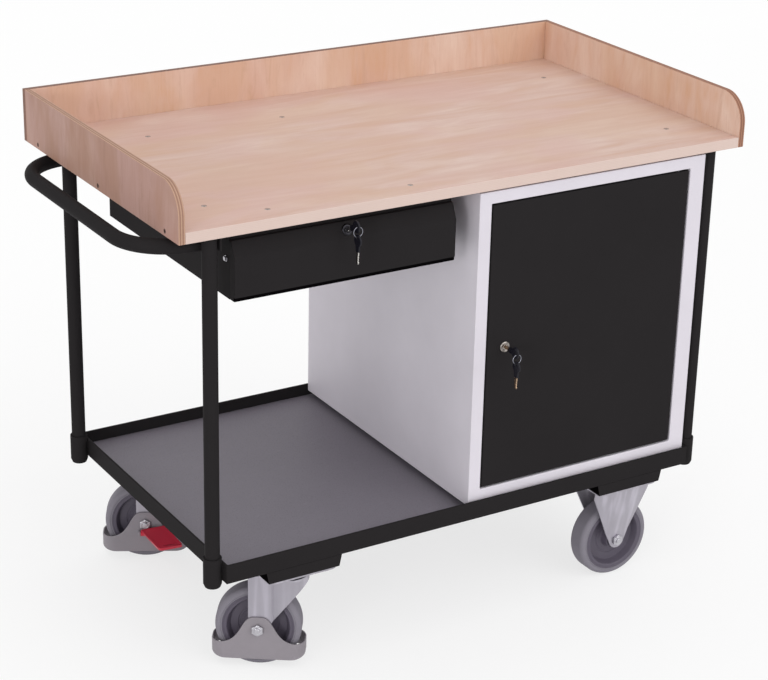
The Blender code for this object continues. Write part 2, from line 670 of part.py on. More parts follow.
def key_mesh():
    """The key's bow: a flat disc in the YZ plane, its centre KEY_BOW_CENTRE out along -Y."""
    half = KEY_BOW_THICKNESS / 2
    profile = [(0.0, half), (KEY_BOW_RADIUS, half), (KEY_BOW_RADIUS, -half), (0.0, -half)]
    mesh = turned("key_bow", profile, 16, False)
    moved(mesh, Matrix.Rotation(math.pi / 2, 4, "Y"))
    return moved(mesh, Matrix.Translation((0.0, -KEY_BOW_CENTRE, 0.0)))


def shape_key(key):
    """Give a key its blade, shoulder and ring hole."""
    half = KEY_BLADE_HEIGHT / 2
    tip = KEY_BLADE_LENGTH - KEY_BOW_CENTRE + KEY_BOW_RADIUS + half
    start = -KEY_BOW_CENTRE
    blade_shape = [(start, -half), (tip - half, -half), (tip, 0.0), (tip - half, half), (start, half)]
    upright = Matrix.Rotation(math.pi / 2, 4, "Z") @ Matrix.Rotation(math.pi / 2, 4, "X")
    add(key, moved(outline("key_blade", blade_shape, KEY_BLADE_THICKNESS), upright))
    hole = cylinder("key_hole", KEY_HOLE_DIAMETER / 2, -KEY_BOW_THICKNESS, KEY_BOW_THICKNESS, axis="X",
                    steps=12)
    cut(key, hole, (0.0, -KEY_BOW_CENTRE - KEY_HOLE_FROM_CENTRE, 0.0))


def lock_hole(sheet):
    return cylinder("lock_hole", LOCK_BODY_DIAMETER / 2 + GAP, -2 * sheet, 4 * sheet, axis="Y",
                    steps=LOCK_STEPS)


# Drawer: folded housing under the worktop, tray on two pairs of runners, and a front with a leaning top

def build_drawer():
    half = DRAWER_WIDTH / 2
    bm = box_bmesh((-half, HOUSING_FRONT_Y, DRAWER_BOTTOM), (half, HOUSING_REAR_Y, UNDER_TABLE))
    drop_faces(bm, (0, -1, 0))
    open_ring(bm, (0, 0, -1), HOUSING_BOTTOM_FLANGE)
    rim = open_ring(bm, (0, 0, 1), HOUSING_SIDE_FLANGE)
    strike_y = HOUSING_FRONT_Y + HOUSING_FRONT_FLANGE
    front_rim = sorted(rim, key=lambda v: v.co.y)[:2]
    for vert in front_rim:
        vert.co.y = strike_y
    edge = [e for e in bm.edges if e.verts[0] in front_rim and e.verts[1] in front_rim]
    lip = bmesh.ops.extrude_edge_only(bm, edges=edge)["geom"]
    lip_verts = [g for g in lip if isinstance(g, bmesh.types.BMVert)]
    bmesh.ops.translate(bm, vec=(0.0, 0.0, -STRIKE_DROP), verts=lip_verts)
    housing = part("drawer_housing", to_mesh(bm, "drawer_housing"), anthracite, trolley, (DRAWER_X, 0.0, 0.0))
    solidify(housing, SHEET)

    drawer = empty("drawer", trolley, (DRAWER_X, 0.0, 0.0))
    tray_half = half - SHEET - RUNNER_SPACE
    floor = DRAWER_BOTTOM + TRAY_FLOOR_ABOVE_BOTTOM
    top = floor + TRAY_HEIGHT
    rear = HOUSING_REAR_Y - TRAY_REAR_CLEARANCE
    bm = box_bmesh((-tray_half, HOUSING_FRONT_Y, floor), (tray_half, rear, top))
    drop_faces(bm, (0, 0, 1))
    tray = part("drawer_body", to_mesh(bm, "drawer_body"), anthracite, drawer)
    solidify(tray, DRAWER_SHEET)
    notch = box("lock_notch", (-TRAY_NOTCH_WIDTH / 2, HOUSING_FRONT_Y - SHEET, top - TRAY_NOTCH_DEPTH),
                (TRAY_NOTCH_WIDTH / 2, HOUSING_FRONT_Y + 2 * SHEET, top + SHEET))
    cut(tray, notch)

    # Folded front: an open-backed pan whose upper part leans back as a finger pull
    back = DRAWER_FRONT_Y + DRAWER_FRONT_DEPTH
    section = [(DRAWER_FRONT_Y, DRAWER_BOTTOM), (back, DRAWER_BOTTOM), (back, DRAWER_FRONT_TOP),
               (DRAWER_FRONT_Y + DRAWER_LEAN, DRAWER_FRONT_TOP), (DRAWER_FRONT_Y, DRAWER_KNEE)]
    upright = Matrix.Rotation(math.pi / 2, 4, "Z") @ Matrix.Rotation(math.pi / 2, 4, "X")
    pan = moved(outline("drawer_front", section, DRAWER_WIDTH), upright)
    bm = bmesh.new()
    bm.from_mesh(pan)
    drop_faces(bm, (0, 1, 0))
    bmesh.ops.dissolve_limit(bm, angle_limit=0.01, verts=bm.verts, edges=bm.edges)
    front = part("drawer_front", to_mesh(bm, "drawer_front"), anthracite, drawer)
    round_edges(front, SHEET_BEND, angle=20.0)
    solidify(front, SHEET)
    lock_at = (0.0, DRAWER_FRONT_Y + DRAWER_LEAN / 2, (DRAWER_KNEE + DRAWER_FRONT_TOP) / 2)
    cut(front, lock_hole(SHEET), lock_at, (-DRAWER_SLOPE, 0.0, 0.0))
    build_lock("drawer", drawer, lock_at, -DRAWER_SLOPE, DRAWER_CAM_REACH, 0.0)
    build_runners(drawer, half - SHEET, floor)


def build_runners(drawer, wall, tray_floor):
    """Nested channels: the fixed one on the housing, the moving one on the tray."""
    tall, sheet, flange = RUNNER_HEIGHT / 2, RUNNER_SHEET, RUNNER_FLANGE
    fixed = channel(tall, flange, sheet)
    inner = tall - sheet - RUNNER_SLIP
    moving = channel(inner, flange, sheet)
    middle = (0.0, tray_floor + RUNNER_CENTRE_ABOVE_TRAY_FLOOR)
    centre_y = HOUSING_REAR_Y - RUNNER_REAR_CLEARANCE - RUNNER_LENGTH / 2
    for side_name, side in SIDES.items():
        name = f"drawer_runner_fixed_{side_name}"
        mesh = outline(name, [(-side * x, z) for x, z in fixed], RUNNER_LENGTH)
        moved(mesh, Matrix.Rotation(math.pi / 2, 4, "X"))
        part(name, mesh, zinc, trolley, (DRAWER_X + side * (wall - GAP), centre_y, middle[1]))
        name = f"drawer_runner_moving_{side_name}"
        mesh = outline(name, [(side * x, z) for x, z in moving], RUNNER_LENGTH)
        moved(mesh, Matrix.Rotation(math.pi / 2, 4, "X"))
        part(name, mesh, zinc, drawer, (side * (wall - RUNNER_SPACE + GAP), centre_y, middle[1]))


def channel(tall, flange, sheet):
    return [(0.0, -tall), (flange, -tall), (flange, -tall + sheet), (sheet, -tall + sheet),
            (sheet, tall - sheet), (flange, tall - sheet), (flange, tall), (0.0, tall)]


# Cabinet: folded shell with a bordered front opening, inset door on two pivot pins, shelf and skids

def build_cabinet():
    bm = box_bmesh((CABINET_LEFT, CABINET_FRONT_Y, CABINET_BOTTOM),
                   (CABINET_RIGHT, -CABINET_FRONT_Y, CABINET_TOP))
    face = facing(bm, (0, -1, 0))[0]
    bmesh.ops.inset_individual(bm, faces=[face], thickness=BORDER_TOP / 2)
    middle_x = (CABINET_LEFT + CABINET_RIGHT) / 2
    middle_z = (CABINET_BOTTOM + CABINET_TOP) / 2
    for vert in face.verts:
        vert.co.x = CABINET_LEFT + BORDER_LEFT if vert.co.x < middle_x else CABINET_RIGHT - BORDER_RIGHT
        vert.co.z = CABINET_BOTTOM + BORDER_BOTTOM if vert.co.z < middle_z else CABINET_TOP - BORDER_TOP
    inner = bmesh.ops.extrude_discrete_faces(bm, faces=[face])["faces"]
    bmesh.ops.translate(bm, vec=(0.0, BORDER_RETURN, 0.0), verts=inner[0].verts)
    bmesh.ops.delete(bm, geom=inner, context="FACES_ONLY")
    mesh = bpy.data.meshes.new("cabinet_shell")
    bm.to_mesh(mesh)
    bm.free()
    shell = part("cabinet_shell", mesh, light_grey, trolley)
    round_edges(shell, SHEET_BEND)
    solidify(shell, SHEET)
    ledge_front = CABINET_FRONT_Y + SHELF_FRONT_SETBACK
    ledge_rear = -CABINET_FRONT_Y - SHEET / 2
    ledge_top = CABINET_BOTTOM + SHELF_HEIGHT - SHELF_EDGE - GAP
    for wall, inward in ((CABINET_LEFT, 1.0), (CABINET_RIGHT, -1.0)):
        edge = sorted((wall + inward * SHEET / 2, wall + inward * (SHEET + LEDGE_WIDTH)))
        add(shell, box("shelf_ledge", (edge[0], ledge_front, ledge_top - LEDGE_THICKNESS),
                       (edge[1], ledge_rear, ledge_top)))
    hinge = (DOOR_RIGHT - HINGE_FROM_DOOR_EDGE, CABINET_FRONT_Y + HINGE_BEHIND_FACE)
    build_shelf()
    build_skids()
    build_door(hinge)
    build_hinge_pins(shell, hinge)


def build_shelf():
    x0 = CABINET_LEFT + SHEET + SHELF_PLAY
    x1 = CABINET_RIGHT - SHEET - SHELF_PLAY
    top = CABINET_BOTTOM + SHELF_HEIGHT
    rear = -CABINET_FRONT_Y - SHEET - SHELF_PLAY
    bm = box_bmesh((x0, CABINET_FRONT_Y + SHELF_FRONT_SETBACK, top - SHELF_EDGE), (x1, rear, top))
    drop_faces(bm, (0, 0, -1))
    shelf = part("cabinet_shelf", to_mesh(bm, "cabinet_shelf"), light_grey, trolley)
    round_edges(shelf, SHEET_BEND, steps=1)
    solidify(shelf, SHEET)


def build_skids():
    low, high = DECK_TOP + GAP, CABINET_BOTTOM - GAP
    reach = CABINET_DEPTH / 2 - SKID_END_SETBACK
    starts = {"left": CABINET_LEFT + SKID_SIDE_SETBACK,
              "right": CABINET_RIGHT - SKID_SIDE_SETBACK - SKID_WIDTH}
    for side_name, x in starts.items():
        name = f"cabinet_skid_{side_name}"
        part(name, box(name, (x, -reach, low), (x + SKID_WIDTH, reach, high)), anthracite, trolley)


def build_door(hinge):
    hinge_x, hinge_y = hinge
    door = empty("door", trolley, (hinge_x, hinge_y, 0.0))
    front = CABINET_FRONT_Y - hinge_y
    bm = box_bmesh((DOOR_LEFT - hinge_x, front, DOOR_BOTTOM),
                   (DOOR_RIGHT - hinge_x, front + DOOR_THICKNESS, DOOR_TOP))
    open_ring(bm, (0, 1, 0), DOOR_LIP)
    panel = part("cabinet_door", to_mesh(bm, "cabinet_door"), anthracite, door)
    round_edges(panel, SHEET_BEND)
    solidify(panel, SHEET)
    lock_at = (DOOR_LEFT - hinge_x + DOOR_LOCK_FROM_EDGE, front, (DOOR_BOTTOM + DOOR_TOP) / 2)
    cut(panel, lock_hole(SHEET), lock_at)
    for end in (DOOR_BOTTOM, DOOR_TOP):
        hole = cylinder("pin_hole", HINGE_PIN_DIAMETER / 2 + HINGE_PIN_PLAY, end - 3 * SHEET, end + 3 * SHEET,
                        steps=12)
        cut(panel, hole)
    build_lock("door", door, lock_at, 0.0, DOOR_CAM_REACH, math.pi / 2)


def build_hinge_pins(shell, hinge):
    """Pins through the opening's return and the door's edge, above and below."""
    for end_name, level, up in (("bottom", DOOR_BOTTOM, -1.0), ("top", DOOR_TOP, 1.0)):
        middle = level + up * DOOR_GAP / 2
        low, high = -HINGE_PIN_LENGTH / 2, HINGE_PIN_LENGTH / 2
        name = f"door_hinge_pin_{end_name}"
        radius = HINGE_PIN_DIAMETER / 2
        part(name, cylinder(name, radius, low, high, steps=12), zinc, trolley, (*hinge, middle))
        opening = level + up * DOOR_GAP
        hole = cylinder("pin_hole", radius + HINGE_PIN_PLAY, opening - 3 * SHEET, opening + 3 * SHEET,
                        steps=12)
        cut(shell, hole, (*hinge, 0.0))


# Castors.  Local X runs along the wheel from the wheel towards the swivel axis, local Y along the axle.

def build_bearers():
    for side_name, x in (("left", LEFT_BEARER_X), ("right", RIGHT_BEARER_X)):
        name = f"castor_bearer_{side_name}"
        bm = box_bmesh((x - BEARER_WIDTH / 2, -FRAME_DEPTH / 2, BEARER_BOTTOM),
                       (x + BEARER_WIDTH / 2, FRAME_DEPTH / 2, BEARER_BOTTOM + BEARER_HEIGHT))
        for vert in bm.verts:
            if vert.co.z < BEARER_BOTTOM + BEARER_HEIGHT / 2:
                vert.co.x += math.copysign(BEARER_TAPER, x - vert.co.x)
        drop_faces(bm, (0, 0, 1))
        bearer = part(name, to_mesh(bm, name), anthracite, trolley)
        solidify(bearer, BEARER_SHEET)
        top = BEARER_BOTTOM + BEARER_HEIGHT
        cut(bearer, box("level_rim", (x - BEARER_WIDTH, -FRAME_DEPTH, top),
                        (x + BEARER_WIDTH, FRAME_DEPTH, top + 0.02)))


def castor_plate(name, spacing, parent, location):
    shape = rounded_rectangle(CASTOR_PLATE_LENGTH, CASTOR_PLATE_WIDTH, CASTOR_PLATE_CORNER)
    mesh = outline(name, shape, CASTOR_PLATE_THICKNESS)
    moved(mesh, Matrix.Translation((0.0, 0.0, -CASTOR_PLATE_THICKNESS / 2)))
    plate = part(name, mesh, zinc, parent, location)
    slot_shape = rounded_rectangle(CASTOR_SLOT_LENGTH, CASTOR_SLOT_WIDTH, CASTOR_SLOT_WIDTH / 2.01)
    for side in SIDES.values():
        for end in ENDS.values():
            slot = outline("slot", slot_shape, 4 * CASTOR_PLATE_THICKNESS)
            cut(plate, slot, (side * spacing[0] / 2, end * spacing[1] / 2, 0.0))
    return plate


def bent_arm(name, shape, fold_lines, flare=0.0):
    """A flat arm whose flanks past the fold lines lean in and whose upper part leans out by the flare,
    then given its sheet thickness.  The shape is in X and Z, its outer face on Y = 0 towards -Y."""
    mesh = outline(name, shape, FORK_SHEET)
    bm = bmesh.new()
    bm.from_mesh(mesh)
    drop_faces(bm, (0, 0, -1))
    bmesh.ops.delete(bm, geom=[f for f in bm.faces if abs(f.normal.z) < 0.5], context="FACES")
    bmesh.ops.dissolve_limit(bm, angle_limit=0.01, verts=bm.verts, edges=bm.edges)
    for fold, outward in fold_lines:
        geometry = bm.verts[:] + bm.edges[:] + bm.faces[:]
        bmesh.ops.bisect_plane(bm, geom=geometry, plane_co=(fold, 0.0, 0.0), plane_no=(1.0, 0.0, 0.0))
        flank = [v for v in bm.verts if (v.co.x - fold) * outward > 0.00001]
        for vert in flank:
            vert.co.z -= abs(vert.co.x - fold) * math.tan(FIXED_FLANK_BEND)
    if flare:
        geometry = bm.verts[:] + bm.edges[:] + bm.faces[:]
        bmesh.ops.bisect_plane(bm, geom=geometry, plane_co=(0.0, FORK_EYE_RADIUS, 0.0),
                               plane_no=(0.0, 1.0, 0.0))
        for vert in bm.verts:
            vert.co.z += max(0.0, vert.co.y - FORK_EYE_RADIUS) * math.tan(flare)
    bmesh.ops.translate(bm, vec=(0.0, 0.0, -FORK_SHEET / 2), verts=bm.verts)
    bmesh.ops.rotate(bm, matrix=Matrix.Rotation(math.pi / 2, 3, "X"), verts=bm.verts)
    bm.to_mesh(mesh)
    bm.free()
    holder = bpy.data.objects.new(name, mesh)
    bpy.context.scene.collection.objects.link(holder)
    solidify(holder, FORK_SHEET)
    bpy.context.view_layer.update()
    evaluated = holder.evaluated_get(bpy.context.evaluated_depsgraph_get())
    result = bpy.data.meshes.new_from_object(evaluated)
    bpy.data.objects.remove(holder, do_unlink=True)
    return result


def mirrored(mesh):
    copy = mesh.copy()
    bm = bmesh.new()
    bm.from_mesh(copy)
    bmesh.ops.scale(bm, vec=(1.0, -1.0, 1.0), verts=bm.verts)
    bmesh.ops.recalc_face_normals(bm, faces=bm.faces)
    bm.to_mesh(copy)
    bm.free()
    return copy


def axle_hole():
    reach = GUARD_HALF_WIDTH + BOLT_HEAD_THICKNESS
    return cylinder("axle_hole", AXLE_DIAMETER / 2 + AXLE_PLAY, -reach, reach, axis="Y", steps=12)


def build_wheel(prefix, axle, outer_half):
    """Rim, tyre and axle bolt on an empty at the wheel's centre; the bolt's head seats at outer_half."""
    tyre_half, inner = TYRE_WIDTH / 2, TYRE_INNER_RADIUS
    radius, crown = WHEEL_DIAMETER / 2, TYRE_CROWN
    upper = arc((radius - crown, tyre_half - crown), crown, 90, 0, 3)
    lower = [(r, -w) for r, w in reversed(upper)]
    tyre_profile = [(inner, tyre_half)] + upper + lower + [(inner, -tyre_half)]
    part(f"{prefix}_tyre", turn_to_y(turned("tyre", tyre_profile, WHEEL_STEPS)), tyre_grey, axle)
    rim_outer = inner - GAP
    rim_inner = rim_outer - RIM_THICKNESS
    bore = AXLE_DIAMETER / 2 + AXLE_PLAY
    half = [(bore, HUB_WIDTH / 2), (HUB_RADIUS, HUB_WIDTH / 2), (HUB_RADIUS + 0.004, WEB_THICKNESS / 2),
            (rim_inner - 0.006, WEB_THICKNESS / 2), (rim_inner, tyre_half), (rim_outer, tyre_half)]
    rim_profile = half + [(r, -w) for r, w in reversed(half)]
    part(f"{prefix}_rim", turn_to_y(turned("rim", rim_profile, WHEEL_STEPS)), rim_grey, axle)
    seat = outer_half + GAP
    shank_reach = seat + BOLT_HEAD_THICKNESS / 2
    shank = cylinder("axle_bolt", AXLE_DIAMETER / 2, -shank_reach, shank_reach,
                     axis="Y", steps=16)
    bolt = part(f"{prefix}_axle_bolt", shank, zinc, axle)
    for end in ENDS.values():
        head = cylinder("bolt_head", BOLT_HEAD_ACROSS / math.sqrt(3),
                        -BOLT_HEAD_THICKNESS / 2, BOLT_HEAD_THICKNESS / 2,
                        axis="Y", steps=6)
        add(bolt, head, (0.0, end * (seat + BOLT_HEAD_THICKNESS / 2), 0.0))


def build_fixed_castor(prefix, x, y):
    castor = empty(f"{prefix}_castor", trolley, (x, y, 0.0))
    fork = castor_plate(f"{prefix}_fork", FIXED_SLOT_SPACING, castor, (0.0, 0.0, CASTOR_HEIGHT))
    eye = FORK_EYE_RADIUS
    top = CASTOR_HEIGHT - CASTOR_PLATE_THICKNESS * 0.75 - AXLE_HEIGHT
    half = FIXED_ARM_TOP / 2
    shape = arc((0.0, 0.0), eye, 180, 360, 10)
    shape += [(half, top - eye), (half, top), (-half, top), (-half, top - eye)]
    arm = bent_arm("fork_arm", shape, ((-FORK_FOLD, -1.0), (FORK_FOLD, 1.0)), FIXED_ARM_FLARE)
    moved(arm, Matrix.Translation((0.0, -FORK_OUTER_WIDTH / 2, AXLE_HEIGHT - CASTOR_HEIGHT)))
    add(fork, arm)
    add(fork, mirrored(arm))
    cut(fork, axle_hole(), (0.0, 0.0, AXLE_HEIGHT - CASTOR_HEIGHT))
    axle = empty(f"{prefix}_axle", castor, (0.0, 0.0, AXLE_HEIGHT))
    build_wheel(prefix, axle, FORK_OUTER_WIDTH / 2)


def fork_rows():
    """Half of the pressed fork from the arm's rear edge to the nose: (x, y, height of the lower edge)."""
    eye, half, nose = FORK_EYE_RADIUS, FORK_OUTER_WIDTH / 2, FORK_NOSE_RADIUS
    rows = []
    for step in range(FORK_EYE_STEPS + 1):
        turn = math.pi * step / FORK_EYE_STEPS
        rows.append((-CASTOR_TRAIL - eye * math.cos(turn), -half, AXLE_HEIGHT - eye * math.sin(turn)))
    rise_from = -CASTOR_TRAIL + eye
    fold_x = -CASTOR_TRAIL + FORK_FLANK_FOLD
    touch = math.atan2(-half, fold_x) + math.acos(nose / math.hypot(fold_x, half))
    front_low = CASTOR_HEIGHT - CASTOR_PLATE_THICKNESS - RACE_DEPTH - FORK_NOSE_SKIRT
    turns = [touch * (1.0 - step / FORK_NOSE_STEPS) for step in range(FORK_NOSE_STEPS + 1)]
    plan = [(fold_x, -half)] + [(nose * math.cos(turn), nose * math.sin(turn)) for turn in turns]
    for x, y in plan:
        share = (x - rise_from) / (nose - rise_from)
        low = AXLE_HEIGHT + (front_low - AXLE_HEIGHT) * share
        above_guard = guard_top(x + CASTOR_TRAIL) + GAP   # the flank is flared
        rows.append((x, y, max(low, above_guard)))
    return rows


def fork_skin(fork_top):
    """The pressed fork's outside as one open surface: skirt, shoulder and top."""
    half = fork_rows()
    rows = half + [(x, -y, low) for x, y, low in reversed(half[:-1])]
    bm = bmesh.new()
    rings = []
    for i, (x, y, low) in enumerate(rows):
        before, after = rows[max(i - 1, 0)], rows[min(i + 1, len(rows) - 1)]
        along = Vector((after[0] - before[0], after[1] - before[1])).normalized()
        inset = (x - along.y * FORK_SHOULDER, y + along.x * FORK_SHOULDER)
        rings.append((bm.verts.new((x, y, low)), bm.verts.new((x, y, fork_top - FORK_SHOULDER)),
                      bm.verts.new((inset[0], inset[1], fork_top))))
    for first, second in zip(rings, rings[1:]):
        for level in range(2):
            bm.faces.new((first[level], second[level], second[level + 1], first[level + 1]))
    bm.faces.new([ring[2] for ring in rings])
    mesh = bpy.data.meshes.new("fork_skin")
    bm.to_mesh(mesh)
    bm.free()
    return mesh


def build_swivel_castor(prefix, x, y, yaw, braked):
    castor = empty(f"{prefix}_castor", trolley, (x, y, 0.0))
    plate = castor_plate(f"{prefix}_castor_plate", CASTOR_SLOT_SPACING, castor, (0.0, 0.0, CASTOR_HEIGHT))
    race_bottom = -CASTOR_PLATE_THICKNESS - RACE_DEPTH
    fork_top = CASTOR_HEIGHT + race_bottom - SWIVEL_PLAY - CROWN_HEIGHT
    pin = KING_PIN_DIAMETER / 2
    pin_head = fork_top - FORK_SHEET - SWIVEL_PLAY - CASTOR_HEIGHT
    race = [(0.0, -CASTOR_PLATE_THICKNESS / 2), (RACE_RADIUS, -CASTOR_PLATE_THICKNESS / 2),
            (RACE_RADIUS, race_bottom + 0.004), (RACE_RADIUS - 0.004, race_bottom), (pin, race_bottom),
            (pin, pin_head), (1.6 * pin, pin_head), (1.6 * pin, pin_head - 0.004), (0.0, pin_head - 0.004)]
    add(plate, turned("race", race, TUBE_STEPS, False))

    swivel = empty(f"{prefix}_swivel", castor, (0.0, 0.0, 0.0), (0.0, 0.0, yaw))
    fork_bore = pin + SWIVEL_PLAY
    fork = part(f"{prefix}_fork", fork_skin(fork_top), zinc, swivel)
    solidify(fork, FORK_SHEET)
    seat_low = fork_top - FORK_SHEET / 2
    crown_rise = FORK_SHEET / 2 + CROWN_HEIGHT
    crown = [(0.0, crown_rise), (CROWN_RADIUS - CROWN_HEIGHT, crown_rise), (CROWN_RADIUS, FORK_SHEET / 2),
             (CROWN_RADIUS, 0.0), (0.0, 0.0)]
    add(fork, turned("crown", crown, TUBE_STEPS, False), (0.0, 0.0, seat_low))
    pin_bore = cylinder("pin_bore", fork_bore, -2 * FORK_SHEET, 3 * FORK_SHEET, steps=TUBE_STEPS)
    cut(fork, pin_bore, (0.0, 0.0, seat_low))
    cut(fork, axle_hole(), (-CASTOR_TRAIL, 0.0, AXLE_HEIGHT))
    axle = empty(f"{prefix}_axle", swivel, (-CASTOR_TRAIL, 0.0, AXLE_HEIGHT))
    build_wheel(prefix, axle, GUARD_HALF_WIDTH)
    guard = build_guard(prefix, axle)
    if braked:
        build_pedal(prefix, axle, guard)


def guard_plan():
    """The guard's outer outline seen from above: straight sides, round corners."""
    corner = GUARD_PLAN_CORNER
    x, y = GUARD_HALF_LENGTH - corner, GUARD_HALF_WIDTH - corner
    side = [(x - 2 * x * i / GUARD_SIDE_STEPS, GUARD_HALF_WIDTH) for i in range(1, GUARD_SIDE_STEPS)]
    steps = GUARD_CORNER_STEPS
    half = arc((x, y), corner, 0, 90, steps) + side + arc((-x, y), corner, 90, 180, steps)
    return half + [(-px, -py) for px, py in half]


def guard_top(x):
    """Height of the guard's top edge: low at the ends, rising in a bell to the cheek at the axle."""
    swell = 1.0 / (1.0 + (abs(x) / GUARD_CHEEK_HALF) ** GUARD_CHEEK_POWER)
    return GUARD_END_TOP + (AXLE_HEIGHT + GUARD_CHEEK_RISE - GUARD_END_TOP) * swell


def guard_bottom(x):
    """Height of the guard's bottom edge, turned up at both ends."""
    past = max(0.0, abs(x) - (GUARD_HALF_LENGTH - GUARD_END_RUN)) / GUARD_END_RUN
    return GUARD_BOTTOM + GUARD_END_RISE * (1.0 - math.sqrt(max(0.0, 1.0 - past ** 2)))


def build_guard(prefix, axle):
    bm = bmesh.new()
    rows = []
    for x, y in guard_plan():
        low = bm.verts.new((x, y, guard_bottom(x) - AXLE_HEIGHT))
        high = bm.verts.new((x, y, guard_top(x) - AXLE_HEIGHT))
        rows.append((low, high))
    for (low, high), (next_low, next_high) in zip(rows, rows[1:] + rows[:1]):
        if (low.co - next_low.co).length > 0.00001:
            bm.faces.new((low, next_low, next_high, high))
    bmesh.ops.remove_doubles(bm, verts=bm.verts, dist=0.00001)
    guard = part(f"{prefix}_foot_guard", to_mesh(bm, "foot_guard"), guard_grey, axle)
    solidify(guard, GUARD_SHEET)
    cut(guard, axle_hole())
    return guard


def build_pedal(prefix, axle, guard):
    """A foot plate on a cross pin between two ears of the guard's cheek."""
    pivot_y = -GUARD_HALF_WIDTH - PEDAL_BARREL_RADIUS - 2 * GAP
    pivot_z = -PEDAL_BELOW_AXLE
    half = PEDAL_LENGTH / 2
    ear_top = PEDAL_BARREL_RADIUS
    for end in SIDES.values():
        inner = PEDAL_AHEAD_OF_AXLE + end * (half + GAP)
        outer = inner + end * PEDAL_EAR
        add(guard, box("ear", (min(inner, outer), pivot_y - ear_top, pivot_z - ear_top),
                       (max(inner, outer), -GUARD_HALF_WIDTH + GUARD_SHEET / 2, pivot_z + ear_top)))
    pin_reach = half + GAP + PEDAL_EAR / 2
    pin = cylinder("pedal_pin", PEDAL_PIN_DIAMETER / 2, -pin_reach, pin_reach, axis="X", steps=10)
    add(guard, pin, (PEDAL_AHEAD_OF_AXLE, pivot_y, pivot_z))
    pivot = empty(f"{prefix}_pedal_pivot", axle, (PEDAL_AHEAD_OF_AXLE, pivot_y, pivot_z))
    barrel = cylinder("barrel", PEDAL_BARREL_RADIUS, -half, half, axis="X", steps=16)
    pedal = part(f"{prefix}_brake_pedal", barrel, pedal_red, pivot)
    web = box("web", (PEDAL_WEB_START, -PEDAL_WEB_OUT, -PEDAL_BARREL_RADIUS / 2),
              (PEDAL_WEB_END, -PEDAL_WEB_IN, PEDAL_WEB_RISE))
    add(pedal, web)
    wide, reach, corner = PEDAL_WIDTH / 2, PEDAL_REACH, PEDAL_CORNER
    plain = [(-wide, 0.0)] + arc((corner - wide, corner - reach), corner, 180, 270, 3)
    plain += arc((wide - corner, corner - reach), corner, 270, 360, 3) + [(wide, 0.0)]
    tread = outline("tread", [(x - y * PEDAL_SKEW / reach, y) for x, y in plain], PEDAL_THICKNESS)
    place = (PEDAL_TREAD_AHEAD, -PEDAL_TREAD_OUT, PEDAL_TREAD_RISE)
    add(pedal, tread, place, (PEDAL_SLOPE, -PEDAL_ROLL, 0.0))
    bore = cylinder("bore", PEDAL_PIN_DIAMETER / 2 + GAP, -PEDAL_LENGTH, PEDAL_LENGTH, axis="X", steps=10)
    cut(pedal, bore)


build_deck_frame()
build_deck_board()
build_legs()
build_cross_rails()
build_push_handle()
build_worktop()
build_drawer()
build_cabinet()
build_bearers()
build_swivel_castor("front_left", LEFT_BEARER_X, FRONT_CASTOR_Y, FRONT_LEFT_YAW, braked=False)
build_swivel_castor("rear_left", LEFT_BEARER_X, REAR_SWIVEL_Y, REAR_LEFT_YAW, braked=True)
build_fixed_castor("front_right", RIGHT_BEARER_X, FRONT_CASTOR_Y)
build_fixed_castor("rear_right", RIGHT_BEARER_X, REAR_FIXED_Y)
bpy.context.view_layer.update()
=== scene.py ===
import json
import math

import bmesh
import bpy
from mathutils import Matrix, Vector


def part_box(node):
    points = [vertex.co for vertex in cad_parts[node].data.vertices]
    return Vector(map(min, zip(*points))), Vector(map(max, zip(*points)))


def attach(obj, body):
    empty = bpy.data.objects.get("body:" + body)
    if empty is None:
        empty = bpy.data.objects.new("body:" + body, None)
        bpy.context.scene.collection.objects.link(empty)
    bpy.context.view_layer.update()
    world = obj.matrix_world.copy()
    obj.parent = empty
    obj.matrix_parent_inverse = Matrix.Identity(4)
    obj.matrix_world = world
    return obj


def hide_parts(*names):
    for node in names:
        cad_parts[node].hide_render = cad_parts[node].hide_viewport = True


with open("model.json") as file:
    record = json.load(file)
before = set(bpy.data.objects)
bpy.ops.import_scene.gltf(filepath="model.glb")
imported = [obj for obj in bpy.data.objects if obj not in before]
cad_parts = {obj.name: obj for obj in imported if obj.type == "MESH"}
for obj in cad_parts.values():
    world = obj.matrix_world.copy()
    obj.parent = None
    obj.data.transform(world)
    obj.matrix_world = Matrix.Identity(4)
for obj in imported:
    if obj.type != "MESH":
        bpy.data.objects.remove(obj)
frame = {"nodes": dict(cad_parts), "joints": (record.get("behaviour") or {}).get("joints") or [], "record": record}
nodes, record = frame["nodes"], frame["record"]
joints = {joint["name"]: joint for joint in frame["joints"]}
bodyOf = {node: body for body, members in record["behaviour"]["bodies"].items() for node in members}
slotOf = {part["node"]: part["material_slot"] for part in record["subparts"]}
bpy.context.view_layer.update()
scene = bpy.context.scene

mm = 0.001
upward = Vector((0.0, 0.0, 1.0))
white = (1.0, 1.0, 1.0, 1.0)


def inMm(**lengths):
    return {label: length * mm for label, length in lengths.items()}


def addObject(name, data):
    made = bpy.data.objects.new(name, data)
    scene.collection.objects.link(made)
    return made


# Camera at the photograph's place

photoView = {
    "eye": (-1.983805, -3.25427, 2.06223),
    "right": (0.85578, -0.51688, 0.02188),
    "up": (0.18007, 0.33724, 0.92404),
    "lens": 99.96,
    "sensor": 36.0,
    "reach": 100.0,
}


def placeCamera(view):
    lens = bpy.data.cameras.new("photoCamera")
    lens.lens, lens.sensor_width, lens.clip_end = view["lens"], view["sensor"], view["reach"]
    right, above = Vector(view["right"]), Vector(view["up"])
    axes = Matrix((right, above, right.cross(above))).transposed().to_4x4()
    scene.camera = addObject("photoCamera", lens)
    scene.camera.matrix_world = Matrix.Translation(view["eye"]) @ axes


placeCamera(photoView)
print("camera placed")


# Node trees are written as expressions on wires

